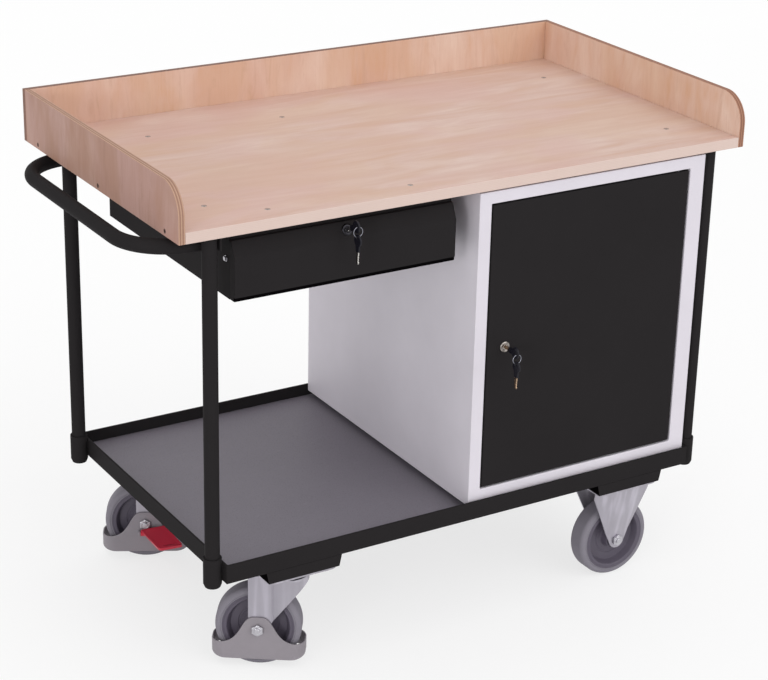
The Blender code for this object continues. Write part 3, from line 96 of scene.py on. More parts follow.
class Wire:
    def __init__(self, tree, socket=None):
        self.tree = tree
        self.socket = socket

    def node(self, kind, sockets=None, settings=None, out=0):
        made = self.tree.nodes.new(kind)
        for key, value in (settings or {}).items():
            if key == "stops":
                fillRamp(made.color_ramp, value)
            else:
                setattr(made, key, value)
        for key, value in (sockets or {}).items():
            for single in value if isinstance(value, list) else [value]:
                if isinstance(single, Wire):
                    self.tree.links.new(single.socket, made.inputs[key])
                else:
                    made.inputs[key].default_value = single
        return Wire(self.tree, made.outputs[out] if made.outputs else None)

    def calc(self, operation, first, second=0.0):
        return self.node("ShaderNodeMath", {0: first, 1: second}, {"operation": operation})

    def __add__(self, other):
        return self.calc("ADD", self, other)

    def __radd__(self, other):
        return self.calc("ADD", other, self)

    def __sub__(self, other):
        return self.calc("SUBTRACT", self, other)

    def __rsub__(self, other):
        return self.calc("SUBTRACT", other, self)

    def __mul__(self, other):
        return self.calc("MULTIPLY", self, other)

    def __rmul__(self, other):
        return self.calc("MULTIPLY", other, self)

    def __truediv__(self, other):
        return self.calc("DIVIDE", self, other)

    def __rtruediv__(self, other):
        return self.calc("DIVIDE", other, self)

    def __gt__(self, other):
        return self.calc("GREATER_THAN", self, other)

    def noise(self, scale, detail=3.0, rough=0.5, stretch=None, twist=0.0):
        place = self.node("ShaderNodeMapping", {"Vector": self, "Scale": stretch}) if stretch else self
        return self.node("ShaderNodeTexNoise", {"Vector": place, "Scale": scale, "Detail": detail,
                                                "Roughness": rough, "Distortion": twist})

    def ranged(self, low, high, kind="LINEAR"):
        return self.node("ShaderNodeMapRange", {"Value": self, "From Min": low, "From Max": high},
                         {"interpolation_type": kind})

    def mix(self, first, second):
        return self.node("ShaderNodeMix", {0: self, 6: first, 7: second}, {"data_type": "RGBA"}, 2)

    def bump(self, strength, distance):
        return self.node("ShaderNodeBump", {"Strength": strength, "Distance": distance, "Height": self})

    def lifted(self, height):
        offset = self.node("ShaderNodeCombineXYZ", {2: height})
        return self.node("GeometryNodeTransform", {"Geometry": self, "Translation": offset})


def fillRamp(ramp, stops):
    while len(ramp.elements) < len(stops):
        ramp.elements.new(0.5)
    for element, (place, colour) in zip(ramp.elements, stops):
        element.position = place
        element.color = colour


def srgb(red, green, blue):
    shares = (red / 255, green / 255, blue / 255)
    return tuple(s / 12.92 if s <= 0.04045 else ((s + 0.055) / 1.055) ** 2.4 for s in shares) + (1.0,)


def shade(colour, factor):
    return tuple(min(1.0, part * factor) for part in colour[:3]) + (1.0,)


def startFinish(name, **fixed):
    # gives the place on the object and a function that feeds the shader and returns the material
    material = bpy.data.materials.new(name)
    material.use_nodes = True
    shader = material.node_tree.nodes["Principled BSDF"]
    for label, value in fixed.items():
        shader.inputs[label.replace("_", " ")].default_value = value

    def finished(inputs):
        for label, source in inputs.items():
            material.node_tree.links.new(source.socket, shader.inputs[label])
        return material

    return Wire(material.node_tree).node("ShaderNodeTexCoord", out=3), finished


# Finishes: powder coat, veneer, ply edges, zinc, nickel, rubber, moulded plastics, coated board

powderCoat = {"grainScale": 760.0, "grainDepth": 0.09 * mm, "cloudScale": 5.0, "cloudShare": 0.10,
              "rubScale": 38.0}


def makePowderCoat(name, colour, rough, gloss, look):
    place, finished = startFinish(name, Specular_IOR_Level=gloss)
    cloud = place.noise(look["cloudScale"], 4.0, 0.6)
    rub = place.noise(look["rubScale"], 5.0, 0.7)
    share = look["cloudShare"]
    return finished({
        "Base Color": cloud.mix(shade(colour, 1.0 - share), shade(colour, 1.0 + share)),
        "Roughness": rough - 0.06 + cloud * 0.06 + rub * 0.08,
        "Normal": place.noise(look["grainScale"], 2.0).bump(0.35, look["grainDepth"]),
    })


anthracitePaint = makePowderCoat("anthracitePaint", srgb(40, 38, 39), 0.50, 0.012, powderCoat)
# near-black paint that stands in for shade on faces lying in shadow: painted shade
shadowPaint = makePowderCoat("shadowPaint", srgb(8, 7, 8), 0.60, 0.0, powderCoat)
lightGreyPaint = makePowderCoat("lightGreyPaint", srgb(212, 207, 215), 0.45, 0.24, powderCoat)

beech = {
    "pale": srgb(215, 190, 179), "middle": srgb(207, 177, 165), "warm": srgb(203, 167, 147),
    "rosy": srgb(206, 169, 159), "honey": srgb(204, 169, 140), "streak": srgb(187, 149, 133),
    "fleck": srgb(158, 122, 106), "cloud": (3.2, 19.0), "flame": (6.0, 52.0), "line": (5.0, 230.0),
    "ray": (80.0, 900.0), "stain": (2.8, 6.5), "blushScale": 3.4,
    "rosyShare": 0.55, "honeyShare": 0.34, "streakShare": 0.20, "hairShare": 0.08, "fleckShare": 0.14,
}
beechInside = dict(beech, pale=srgb(226, 200, 184), middle=srgb(218, 186, 168), warm=srgb(211, 169, 139),
                   rosy=srgb(212, 173, 156), honey=srgb(206, 162, 124), streak=srgb(191, 148, 122),
                   fleck=srgb(152, 110, 88), cloud=(4.0, 13.0), flame=(4.5, 30.0), streakShare=0.40,
                   hairShare=0.15)
# darker copy of the board veneer for faces turned from the light, the boards' outer faces and the plate's
# underside: painted shade, partly the sheets' own tone
beechOutsideShaded = dict(beechInside, pale=srgb(184, 151, 140), middle=srgb(173, 137, 125),
                    warm=srgb(165, 125, 107), rosy=srgb(172, 134, 124), honey=srgb(155, 113, 87),
                    streak=srgb(148, 109, 94), fleck=srgb(118, 84, 72), honeyShare=0.44)


def makeVeneer(name, tones, grainAxis):
    place, finished = startFinish(name, Specular_IOR_Level=0.26)

    def grown(label, detail, rough, twist=0.0):
        length, width = tones[label]
        stretch = tuple(length if axis == grainAxis else width for axis in range(3))
        return place.noise(1.0, detail, rough, stretch, twist)

    cloud, flame = grown("cloud", 4.0, 0.58, 1.1), grown("flame", 6.0, 0.62, 2.2)
    line, ray = grown("line", 4.0, 0.70, 0.3), grown("ray", 2.0, 0.5)
    rosy = place.noise(tones["blushScale"]).ranged(0.42, 0.62, "SMOOTHSTEP")
    honey = grown("stain", 3.0, 0.55, 0.8).ranged(0.44, 0.62, "SMOOTHSTEP")
    streak = flame.ranged(0.52, 0.74, "SMOOTHSTEP")
    hair, fleck = line.ranged(0.46, 0.80), ray.ranged(0.62, 0.80)
    tone = place.node("ShaderNodeValToRGB", {0: cloud * 0.7 + flame * 0.3}, {"stops": [
        (0.32, tones["warm"]), (0.47, tones["middle"]), (0.62, tones["pale"]), (0.76, tones["middle"])]})
    for mask, share, label in ((rosy, "rosyShare", "rosy"), (honey, "honeyShare", "honey"),
                               (streak, "streakShare", "streak"), (hair, "hairShare", "streak"),
                               (fleck, "fleckShare", "fleck")):
        tone = (mask * tones[share]).mix(tone, tones[label])
    return finished({
        "Base Color": tone,
        "Roughness": 0.50 + hair * 0.14 + streak * 0.06,
        "Normal": (line * 0.6 + ray * 0.4).bump(0.28, 0.12 * mm),
    })


boardLayer = {"pitch": 2.4 * mm, "waver": 0.24, "glue": 0.10, "glueShare": 0.5, "smearShare": 0.35}
plateLayer = dict(boardLayer, pitch=1.54 * mm, glueShare=0.10, smearShare=0.16)


def makePlyEdge(name, light, dark, thicknessAxis, start, layer):
    place, finished = startFinish(name, Specular_IOR_Level=0.25)
    across = place.node("ShaderNodeSeparateXYZ", {0: place}, out=thicknessAxis)
    step = (across - start) / layer["pitch"] + place.noise(14.0, 2.0) * layer["waver"]
    crossPly = step.calc("FRACT", step * 0.5) > 0.5
    glue = step.calc("LESS_THAN", step.calc("FRACT", step), layer["glue"])
    fibre, smear = place.noise(620.0, 3.0, 0.6), place.noise(30.0, 4.0, 0.6)
    tone = (crossPly * (0.55 + fibre * 0.5)).mix(light, dark)
    tone = (smear * layer["smearShare"]).mix(tone, shade(dark, 0.82))
    return finished({
        "Base Color": (glue * layer["glueShare"]).mix(tone, shade(dark, 0.55)),
        "Roughness": 0.58 + crossPly * 0.12,
        "Normal": (fibre * 0.5 + crossPly * 0.5).bump(0.30, 0.10 * mm),
    })


def makeZinc(name, colour, hazeTone):
    place, finished = startFinish(name, Metallic=0.62)
    flake = place.node("ShaderNodeTexVoronoi", {"Vector": place, "Scale": 160.0}, {"feature": "F1"}, 1)
    flakeTone = place.node("ShaderNodeSeparateColor", {0: flake})
    cloud, haze = place.noise(22.0, 5.0, 0.62), place.noise(7.0)
    brush = place.noise(1.0, 3.0, 0.6, (900.0, 900.0, 60.0))
    reflectionStreaks = place.noise(1.0, 1.6, 0.45, (64.0, 64.0, 3.0), 0.2)   # vertical colour streaks stand in for reflection bands: painted reflection, dark and bright
    darkReflection, paintedGlint = reflectionStreaks.ranged(0.36, 0.64), reflectionStreaks.ranged(0.42, 0.28)
    tone = cloud.mix(shade(colour, 0.86), shade(colour, 1.08))
    tone = (darkReflection * 0.42).mix(tone, shade(colour, 0.76))
    tone = (paintedGlint * 0.6).mix(tone, shade(colour, 1.34))
    return finished({
        "Base Color": (haze * 0.18).mix(tone, hazeTone),
        "Roughness": 0.24 + cloud * 0.14 + flakeTone * 0.06 + darkReflection * 0.08,
        "Normal": (brush * 0.3 + cloud * 0.7).bump(0.10, 0.08 * mm),
    })


def makeNickel(name, colour, rough=0.16, dull=0.86, dullScale=90.0):
    place, finished = startFinish(name, Metallic=1.0)
    cloud = place.noise(dullScale, 4.0, 0.6)
    tone = cloud.ranged(0.36, 0.64).mix(shade(colour, dull), colour)
    return finished({"Base Color": tone, "Roughness": rough + cloud * 0.14})


def makeMoulded(name, colour, rough, gloss, grainScale, grainDepth, wear):
    place, finished = startFinish(name, Specular_IOR_Level=gloss)
    cloud = place.noise(16.0, 5.0, 0.65)
    worn = place.noise(1.0, 5.0, 0.7, (60.0, 60.0, 210.0), 0.6).ranged(0.58, 0.78)
    tone = cloud.mix(shade(colour, 0.86), shade(colour, 1.12))
    return finished({
        "Base Color": (worn * wear).mix(tone, shade(colour, 1.45)),
        "Roughness": rough - 0.05 + cloud * 0.08 + worn * 0.08,
        "Normal": place.noise(grainScale, 3.0, 0.55).bump(0.32, grainDepth),
    })


tyreRubber = makeMoulded("tyreRubber", srgb(128, 124, 133), 0.70, 0.30, 520.0, 0.14 * mm, 0.10)
rimPlastic = makeMoulded("rimPlastic", srgb(87, 81, 94), 0.48, 0.40, 900.0, 0.08 * mm, 0.12)
guardPlastic = makeMoulded("guardPlastic", srgb(141, 135, 141), 0.52, 0.40, 800.0, 0.10 * mm, 0.12)
pedalPlastic = makeMoulded("pedalPlastic", srgb(196, 38, 62), 0.34, 0.45, 700.0, 0.06 * mm, 0.10)
keyPlastic = makeMoulded("keyPlastic", srgb(22, 21, 29), 0.40, 0.22, 900.0, 0.05 * mm, 0.10)
plateHole = makeMoulded("plateHole", srgb(158, 131, 119), 0.75, 0.2, 500.0, 0.1 * mm, 0.0)
boardHole = makeMoulded("boardHole", srgb(84, 63, 56), 0.75, 0.2, 500.0, 0.1 * mm, 0.0)
zincSteel = makeZinc("zincSteel", srgb(174, 170, 181), srgb(176, 170, 164))
brightZinc = makeNickel("brightZinc", srgb(196, 194, 200), 0.26)
plateScrew = makeNickel("plateScrew", srgb(184, 174, 170), 0.46)
boardScrew = makeNickel("boardScrew", srgb(108, 84, 75), 0.40)
nickelPlate = makeNickel("nickelPlate", srgb(206, 202, 197))
# dark blotches in the door lock's colour stand in for dark surroundings reflected in it: painted reflection
nickelPaintedReflection = makeNickel("nickelPaintedReflection", srgb(186, 178, 172), 0.20, 0.30, 150.0)
ringNickel = makeNickel("ringNickel", srgb(150, 150, 160), 0.18)
darkNickel = makeNickel("darkNickel", srgb(52, 51, 55), 0.22)
brassPlate = makeNickel("brassPlate", srgb(192, 164, 138))

deckCoat = {"grey": srgb(120, 115, 124), "speck": srgb(92, 88, 96), "pale": srgb(134, 129, 138)}


def makeDeckCoat(name, look):
    place, finished = startFinish(name, Specular_IOR_Level=0.30)
    speck = place.noise(420.0, 2.0)
    worn = place.noise(1.0, 5.0, 0.7, (26.0, 90.0, 40.0), 0.7).ranged(0.58, 0.76)
    dark = speck.ranged(0.55, 0.75)
    tone = (place.noise(6.0, 5.0, 0.6) * 0.5).mix(look["grey"], look["pale"])
    tone = (dark * 0.45).mix(tone, look["speck"])
    return finished({
        "Base Color": (worn * 0.20).mix(tone, look["pale"]),
        "Roughness": 0.50 + dark * 0.12 - worn * 0.08,
        "Normal": speck.bump(0.35, 0.10 * mm),
    })


deckCoating = makeDeckCoat("deckCoating", deckCoat)
print("finishes made:", len(bpy.data.materials))


# Showing pieces

def meshOf(bm, sharpAngle=32.0):
    limit = math.radians(sharpAngle)
    for face in bm.faces:
        face.smooth = True
    for edge in bm.edges:
        edge.smooth = len(edge.link_faces) == 2 and edge.calc_face_angle(0.0) < limit
    mesh = bpy.data.meshes.new("shape")
    bm.to_mesh(mesh)
    bm.free()
    return mesh


def evaluated(holder):
    bpy.context.view_layer.update()
    graph = bpy.context.evaluated_depsgraph_get()
    mesh = bpy.data.meshes.new_from_object(holder.evaluated_get(graph))
    bpy.data.objects.remove(holder, do_unlink=True)
    return mesh


def showPiece(name, mesh, finishes, body, slot, replaced=()):
    holder = addObject("holder", mesh)
    even = holder.modifiers.new("even", "WEIGHTED_NORMAL")
    even.mode, even.weight, even.keep_sharp = "FACE_AREA", 50, True
    mesh = evaluated(holder)
    mesh.name = name
    if not mesh.materials:
        for finish in finishes if isinstance(finishes, (list, tuple)) else [finishes]:
            mesh.materials.append(finish)
    piece = addObject(name, mesh)
    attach(piece, body)
    if replaced:
        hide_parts(*replaced)


def showNode(node, bm, finishes, kind=".fine", sharpAngle=32.0):
    showPiece(node + kind, meshOf(bm, sharpAngle), finishes, bodyOf[node], slotOf[node], [node])


# Mesh tools

def shift(x=0.0, y=0.0, z=0.0):
    return Matrix.Translation((x, y, z))


def turned(degrees, axis):
    return Matrix.Rotation(math.radians(degrees), 4, axis)


def placed(bm, matrix):
    bmesh.ops.transform(bm, matrix=matrix, verts=bm.verts)
    return bm


def stoodUp(bm, x=0.0):
    # an outline drawn in X and Y comes to stand in Y and Z
    return placed(bm, Matrix(((0, 0, 1, x), (1, 0, 0, 0), (0, 1, 0, 0), (0, 0, 0, 1))))


def turnsOf(count):
    return [2.0 * math.pi * k / count for k in range(count)]


def around(radius, turn, along):
    return radius * math.cos(turn), along, radius * math.sin(turn)


def soften(share):
    return share * share * (3.0 - 2.0 * share)


def sized(spots):
    return [(first * mm, second * mm) for first, second in spots]


def facedOut(bm):
    bmesh.ops.recalc_face_normals(bm, faces=bm.faces)
    return bm


def bridge(bm, first, second, closed=True):
    count = len(first)
    for i in range(count if closed else count - 1):
        j = (i + 1) % count
        bm.faces.new((first[i], first[j], second[j], second[i]))


def loft(rings, closedAcross=True, closedAlong=False):
    bm = bmesh.new()
    made = [[bm.verts.new(spot) for spot in ring] for ring in rings]
    for first, second in zip(made, made[1:] + made[:1] if closedAlong else made[1:]):
        bridge(bm, first, second, closedAcross)
    return bm, made


def cappedLoft(rings):
    bm, made = loft(rings)
    for ring in (made[0], made[-1]):
        bm.faces.new(ring)
    return facedOut(bm)


def lathe(profile, steps, closed=True):
    # the profile is (radius, place along Y)
    rings = [[around(radius, turn, along) for radius, along in profile] for turn in turnsOf(steps)]
    bm = loft(rings, closed, True)[0]
    bmesh.ops.remove_doubles(bm, verts=bm.verts, dist=1e-7)
    return facedOut(bm)


def rod(radius, reach, steps):
    return lathe([(0.0, reach), (radius, reach), (radius, -reach), (0.0, -reach)], steps, False)


def bmeshOf(mesh):
    bm = bmesh.new()
    bm.from_mesh(mesh)
    return bm


def joined(*parts):
    whole = bmesh.new()
    for bm in parts:
        mesh = bpy.data.meshes.new("joined")
        bm.to_mesh(mesh)
        bm.free()
        whole.from_mesh(mesh)
        bpy.data.meshes.remove(mesh)
    return whole


def arcPoints(centre, radius, start, end, steps):
    turns = [math.radians(start + (end - start) * step / steps) for step in range(steps + 1)]
    return [(centre[0] + radius * math.cos(turn), centre[1] + radius * math.sin(turn)) for turn in turns]


def rimsOf(bm, angle):
    limit = math.radians(angle)
    return [e for e in bm.edges if len(e.link_faces) == 2 and e.calc_face_angle(0.0) > limit]


def easeRims(bm, rims, ease, steps, clamp=False):
    bmesh.ops.bevel(bm, geom=rims, offset=ease, segments=steps, profile=0.5, affect="EDGES",
                    clamp_overlap=clamp)
    return bm


def slab(shape, thickness, ease, steps=3):
    # a flat outline in X and Y given a thickness along Z, its rims eased
    bm = bmesh.new()
    base = bm.faces.new([bm.verts.new((x, y, -thickness / 2)) for x, y in shape])
    grown = bmesh.ops.extrude_face_region(bm, geom=[base])["geom"]
    moved = [item for item in grown if isinstance(item, bmesh.types.BMVert)]
    bmesh.ops.translate(bm, vec=(0.0, 0.0, thickness), verts=moved)
    return easeRims(facedOut(bm), rimsOf(bm, 60.0), ease, steps)


def block(low, high, ease=0.0):
    bm = bmesh.new()
    bmesh.ops.create_cube(bm, size=1.0)
    low, high = Vector(low), Vector(high)
    placed(bm, Matrix.Translation((high + low) / 2) @ Matrix.Diagonal((*(high - low), 1.0)))
    return easeRims(bm, bm.edges[:], ease, 3) if ease else bm


def cleanCopy(node, flat=True):
    bm = bmeshOf(nodes[node].data)
    bmesh.ops.remove_doubles(bm, verts=bm.verts, dist=0.01 * mm)
    if flat:
        bmesh.ops.dissolve_limit(bm, angle_limit=math.radians(0.5), verts=bm.verts, edges=bm.edges)
    return bm


def cutLevel(bm, level, clearBelow=False):
    bmesh.ops.bisect_plane(bm, geom=bm.verts[:] + bm.edges[:] + bm.faces[:], plane_co=upward * level,
                           plane_no=upward, clear_inner=clearBelow)


def carved(mesh, toolMesh):
    holder, tool = addObject("holder", mesh), addObject("tool", toolMesh)
    cut = holder.modifiers.new("cut", "BOOLEAN")
    cut.operation, cut.solver, cut.object = "DIFFERENCE", "EXACT", tool
    result = evaluated(holder)
    bpy.data.objects.remove(tool, do_unlink=True)
    return result


def thickened(bm, sheet, evenWall, ease, steps, angle):
    holder = addObject("holder", meshOf(bm))
    wall = holder.modifiers.new("wall", "SOLIDIFY")
    wall.thickness, wall.offset, wall.use_even_offset = sheet, -1.0, evenWall
    rim = holder.modifiers.new("rim", "BEVEL")
    rim.width, rim.segments, rim.limit_method, rim.angle_limit = ease, steps, "ANGLE", math.radians(angle)
    return bmeshOf(evaluated(holder))


# Sheet metal and other carried-over parts get eased edges, in mm, and their finish; the castor bearers' left ends
# get painted shade

easedParts = {
    anthracitePaint: {
        "deck_frame": 0.7, "drawer_housing": 0.5, "drawer_body": 0.4, "cabinet_door": 0.4,
        "castor_bearer_left": 1.0, "castor_bearer_right": 1.0, "top_cross_rail_left": 0.5,
        "top_cross_rail_right": 0.5, "cabinet_skid_left": 1.0, "cabinet_skid_right": 1.0},
    lightGreyPaint: {"cabinet_shell": 0.4, "cabinet_shelf": 0.25},
    deckCoating: {"deck_board": 0.8},
    zincSteel: {
        "front_left_castor_plate": 0.4, "rear_left_castor_plate": 0.4, "door_hinge_pin_top": 0.4,
        "door_hinge_pin_bottom": 0.4, "drawer_runner_fixed_left": 0.3, "drawer_runner_fixed_right": 0.3,
        "drawer_runner_moving_left": 0.3, "drawer_runner_moving_right": 0.3},
}
foldAngle = 30.0


def easeCarriedParts(groups):
    for finish, parts in groups.items():
        for node, ease in parts.items():
            bm = cleanCopy(node)
            easeRims(bm, rimsOf(bm, foldAngle), ease * mm, 2, True)
            finishes = [finish]
            if node.startswith("castor_bearer"):   # the pans' left ends lie in shadow and are painted near-black with shadowPaint: painted shade
                finishes.append(shadowPaint)
                for face in bm.faces:
                    face.material_index = int(face.normal.x < -0.7)
            showNode(node, bm, finishes, ".eased")


easeCarriedParts(easedParts)

housingLow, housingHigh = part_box("drawer_housing")
drawerFace = inMm(ease=0.4, stepRise=7.8, stepBack=2.0, skin=3.0, slope=0.8, lipLow=851.0, lipSheet=1.4,
                  lipInset=2.0)


def makeDrawerFace(node, look):
    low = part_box(node)[0]
    bm = cleanCopy(node)
    step = low.z + look["stepRise"]
    for level in (step, step - look["slope"]):
        cutLevel(bm, level)
    for vert in bm.verts:   # the lower edge is joggled back
        if vert.co.z < step - look["slope"] / 2 and vert.co.y < low.y + look["skin"]:
            vert.co.y += look["stepBack"]
    # the joggled lower band's front faces take near-black shadowPaint: painted shade along the drawer front's
    # bottom edge
    for face in bm.faces:
        spot = face.calc_center_median()
        front = spot.y < low.y + 2 * look["skin"] and face.normal.y < -0.2
        face.material_index = int(front and spot.z < step)
    easeRims(bm, rimsOf(bm, foldAngle), look["ease"], 2, True)
    showNode(node, bm, (anthracitePaint, shadowPaint), ".eased")


def makeHousingLip(look):
    inset = look["lipInset"]
    lip = block((housingLow.x + inset, housingLow.y, look["lipLow"]),
                (housingHigh.x - inset, housingLow.y + look["lipSheet"], housingHigh.z), look["ease"])
    showPiece("housingLip", meshOf(lip), anthracitePaint, "carcass", "anthracite_paint")


makeDrawerFace("drawer_front", drawerFace)
makeHousingLip(drawerFace)
print("eased parts:", sum(len(parts) for parts in easedParts.values()))


# Tubes: four legs and the push handle

tubes = dict(inMm(radius=13.45, wall=2.0, handleBend=97.0), sides=48, bendSteps=24)
legNodes = ("leg_front_left", "leg_front_right", "leg_rear_left", "leg_rear_right")


def makeLeg(node, look):
    low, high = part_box(node)
    centre = (low + high) / 2
    outer, inner = look["radius"], look["radius"] - look["wall"]
    profile = [(outer, low.z), (outer, high.z), (inner, high.z), (inner, low.z)]
    bm = placed(lathe(profile, look["sides"]), shift(centre.x, centre.y) @ turned(90, "X"))
    showNode(node, bm, anthracitePaint, ".tube")


def sweep(route, radius, sides):
    rings = []
    for i, spot in enumerate(route):
        ahead = (route[min(i + 1, len(route) - 1)] - route[max(i - 1, 0)]).normalized()
        side = ahead.cross(upward).normalized()
        rings.append([spot + radius * (math.cos(t) * side + math.sin(t) * upward) for t in turnsOf(sides)])
    return cappedLoft(rings)


def makeHandle(node, look):
    low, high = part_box(node)
    radius, bend = look["radius"], look["handleBend"]
    barX, level = low.x + radius, (low.z + high.z) / 2
    middleY, armY = (low.y + high.y) / 2, (high.y - low.y) / 2 - radius
    half = [(high.x, armY)] + arcPoints((barX + bend, armY - bend), bend, 90, 180, look["bendSteps"])
    flat = half + [(x, -y) for x, y in reversed(half)]
    route = [Vector((x, middleY + y, level)) for x, y in flat]
    showNode(node, sweep(route, radius, look["sides"]), anthracitePaint, ".tube")


for legNode in legNodes:
    makeLeg(legNode, tubes)
makeHandle("push_handle", tubes)
print("tubes made")


# Worktop: plywood plate with sunk screws, and three boards round it

worktop = dict(
    inMm(ease=0.9, cornerRadius=56.0, sinkRadius=5.2, sinkDepth=2.6, sinkRise=0.4, sinkFlare=0.3,
         screwRise=9.0),
    cornerSteps=36, sinkTaper=0.45, sinkSteps=24,
    sideScrewsY=(0.285, 0.017, -0.250), backScrewsX=(-0.46, -0.15, 0.21, 0.52),
    plateScrews=[(-0.460, -0.194), (0.524, -0.194), (-0.460, 0.212), (0.524, 0.212),
                 (-0.373, -0.258), (-0.091, -0.259), (-0.374, 0.208), (-0.092, 0.207)])
boardLook = dict(worktop, **inMm(sinkRadius=4.1, sinkDepth=2.2))

plateLow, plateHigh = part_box("table_top")
backLow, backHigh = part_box("back_board")
leftLow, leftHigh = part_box("left_side_board")
rightLow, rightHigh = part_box("right_side_board")

plateVeneer = makeVeneer("plateVeneer", beech, 0)
insideVeneer = makeVeneer("insideVeneer", beechInside, 2)
# the outer-face and underside veneers use the darker copy: painted shade
outsideShadedVeneer = makeVeneer("outsideShadedVeneer", beechOutsideShaded, 2)
underShadedVeneer = makeVeneer("underShadedVeneer", beechOutsideShaded, 0)
plateEdge = makePlyEdge("plateEdge", srgb(213, 192, 183), srgb(210, 187, 177), 2, plateLow.z, plateLayer)
backEdge = makePlyEdge("backEdge", srgb(150, 114, 99), srgb(104, 76, 67), 1, backLow.y, boardLayer)
leftEdge = makePlyEdge("leftEdge", srgb(193, 157, 135), srgb(144, 107, 90), 0, leftLow.x, boardLayer)
rightEdge = makePlyEdge("rightEdge", srgb(174, 127, 103), srgb(124, 86, 71), 0, rightLow.x, boardLayer)

screwZ = plateLow.z + worktop["screwRise"]
plateScrews = [((x, y, plateHigh.z), (0, 0, 1)) for x, y in worktop["plateScrews"]]
leftScrews = [((leftLow.x, y, screwZ), (-1, 0, 0)) for y in worktop["sideScrewsY"]]
rightScrews = [((rightHigh.x, y, screwZ), (1, 0, 0)) for y in worktop["sideScrewsY"]]
backScrews = [((x, backHigh.y, screwZ), (0, 1, 0)) for x in worktop["backScrewsX"]]


def sinkCutter(places, look):
    radius, depth, rise = look["sinkRadius"], look["sinkDepth"], look["sinkRise"]
    profile = [(0.0, rise), (radius + look["sinkFlare"], rise), (radius, 0.0),
               (radius * look["sinkTaper"], -depth), (0.0, -depth)]
    parts = []
    for place, facing in places:
        turn = Vector((0.0, 1.0, 0.0)).rotation_difference(Vector(facing)).to_matrix().to_4x4()
        parts.append(placed(lathe(profile, look["sinkSteps"], False), Matrix.Translation(place) @ turn))
    bm = joined(*parts)
    for face in bm.faces:
        face.material_index = 2
    return meshOf(bm)


def plywoodPiece(node, bm, thicknessAxis, outward, finishes, screws, look):
    # finishes: shown face, edge, screw hole, outer face (outer faces take the darker veneer copy: painted shade)
    for face in bm.faces:
        lean = face.normal[thicknessAxis] * outward
        face.material_index = 1 if abs(lean) < 0.75 else 3 if lean > 0 else 0
    mesh, tool = meshOf(bm), sinkCutter(screws, look)
    for finish in finishes:
        mesh.materials.append(finish)
        tool.materials.append(finish)
    showPiece(node + ".wood", carved(mesh, tool), finishes, "carcass", "plywood", [node])


def sideBoard(low, high, look):
    radius = look["cornerRadius"]
    corner = arcPoints((low.y + radius, high.z - radius), radius, 180, 90, look["cornerSteps"])
    shape = [(low.y, low.z)] + corner + [(high.y, high.z), (high.y, low.z)]
    return stoodUp(slab(shape, high.x - low.x, look["ease"]), (low.x + high.x) / 2)


plywoodPiece("table_top", block(plateLow, plateHigh, worktop["ease"]), 2, -1,
             (plateVeneer, plateEdge, plateHole, underShadedVeneer), plateScrews, worktop)
for node, shape, axis, outward, edge, screws in (
        ("back_board", block(backLow, backHigh, worktop["ease"]), 1, 1, backEdge, backScrews),
        ("left_side_board", sideBoard(leftLow, leftHigh, worktop), 0, -1, leftEdge, leftScrews),
        ("right_side_board", sideBoard(rightLow, rightHigh, worktop), 0, 1, rightEdge, rightScrews)):
    finishes = (insideVeneer, edge, boardHole, outsideShadedVeneer)
    plywoodPiece(node, shape, axis, outward, finishes, screws, boardLook)
print("worktop made")


# Fasteners and weld beads come from geometry node trees

def startTree(name, numbers, wholeNumbers=()):
    tree = bpy.data.node_groups.new(name, "GeometryNodeTree")
    sockets = [("Geometry", "Geometry")] + [(label, "Float") for label in numbers]
    sockets += [(label, "Int") for label in wholeNumbers] + [("Finish", "Material")]
    for label, kind in sockets:
        tree.interface.new_socket(label, in_out="INPUT", socket_type="NodeSocket" + kind)
    tree.interface.new_socket("Geometry", in_out="OUTPUT", socket_type="NodeSocketGeometry")
    entry = tree.nodes.new("NodeGroupInput")
    return Wire(tree), {socket.name: Wire(tree, socket) for socket in entry.outputs if socket.name}


def endTree(wire, shape, sources):
    whole = wire.node("GeometryNodeRealizeInstances", {0: shape})
    whole = wire.node("GeometryNodeSetMaterial", {"Geometry": whole, "Material": sources["Finish"]})
    wire.node("NodeGroupOutput", {0: whole})
    return wire.tree


def spread(wire, sources, shape):
    facing = wire.node("GeometryNodeInputNamedAttribute", {"Name": "facing"}, {"data_type": "FLOAT_VECTOR"})
    turn = wire.node("FunctionNodeAlignRotationToVector", {"Vector": facing}, {"axis": "Z"})
    return wire.node("GeometryNodeInstanceOnPoints",
                     {"Points": sources["Geometry"], "Instance": shape, "Rotation": turn})


def screwTree():
    wire, sources = startTree("sunkScrew", ("Head Radius", "Head Depth", "Below", "Recess"))
    radius, depth, recess = sources["Head Radius"], sources["Head Depth"], sources["Recess"]
    head = wire.node("GeometryNodeMeshCone", {"Vertices": 28, "Radius Top": radius,
                                              "Radius Bottom": radius * 0.45, "Depth": depth})
    slotLong, slotWide = radius * 1.15, radius * 0.22
    for wide, tall in ((slotLong, slotWide), (slotWide, slotLong)):
        size = wire.node("ShaderNodeCombineXYZ", {0: wide, 1: tall, 2: recess})
        slot = wire.node("GeometryNodeMeshCube", {"Size": size}).lifted(depth)
        head = wire.node("GeometryNodeMeshBoolean", {0: head, 1: slot},
                         {"operation": "DIFFERENCE", "solver": "EXACT"})
    return endTree(wire, spread(wire, sources, head.lifted(0.0 - depth - sources["Below"])), sources)


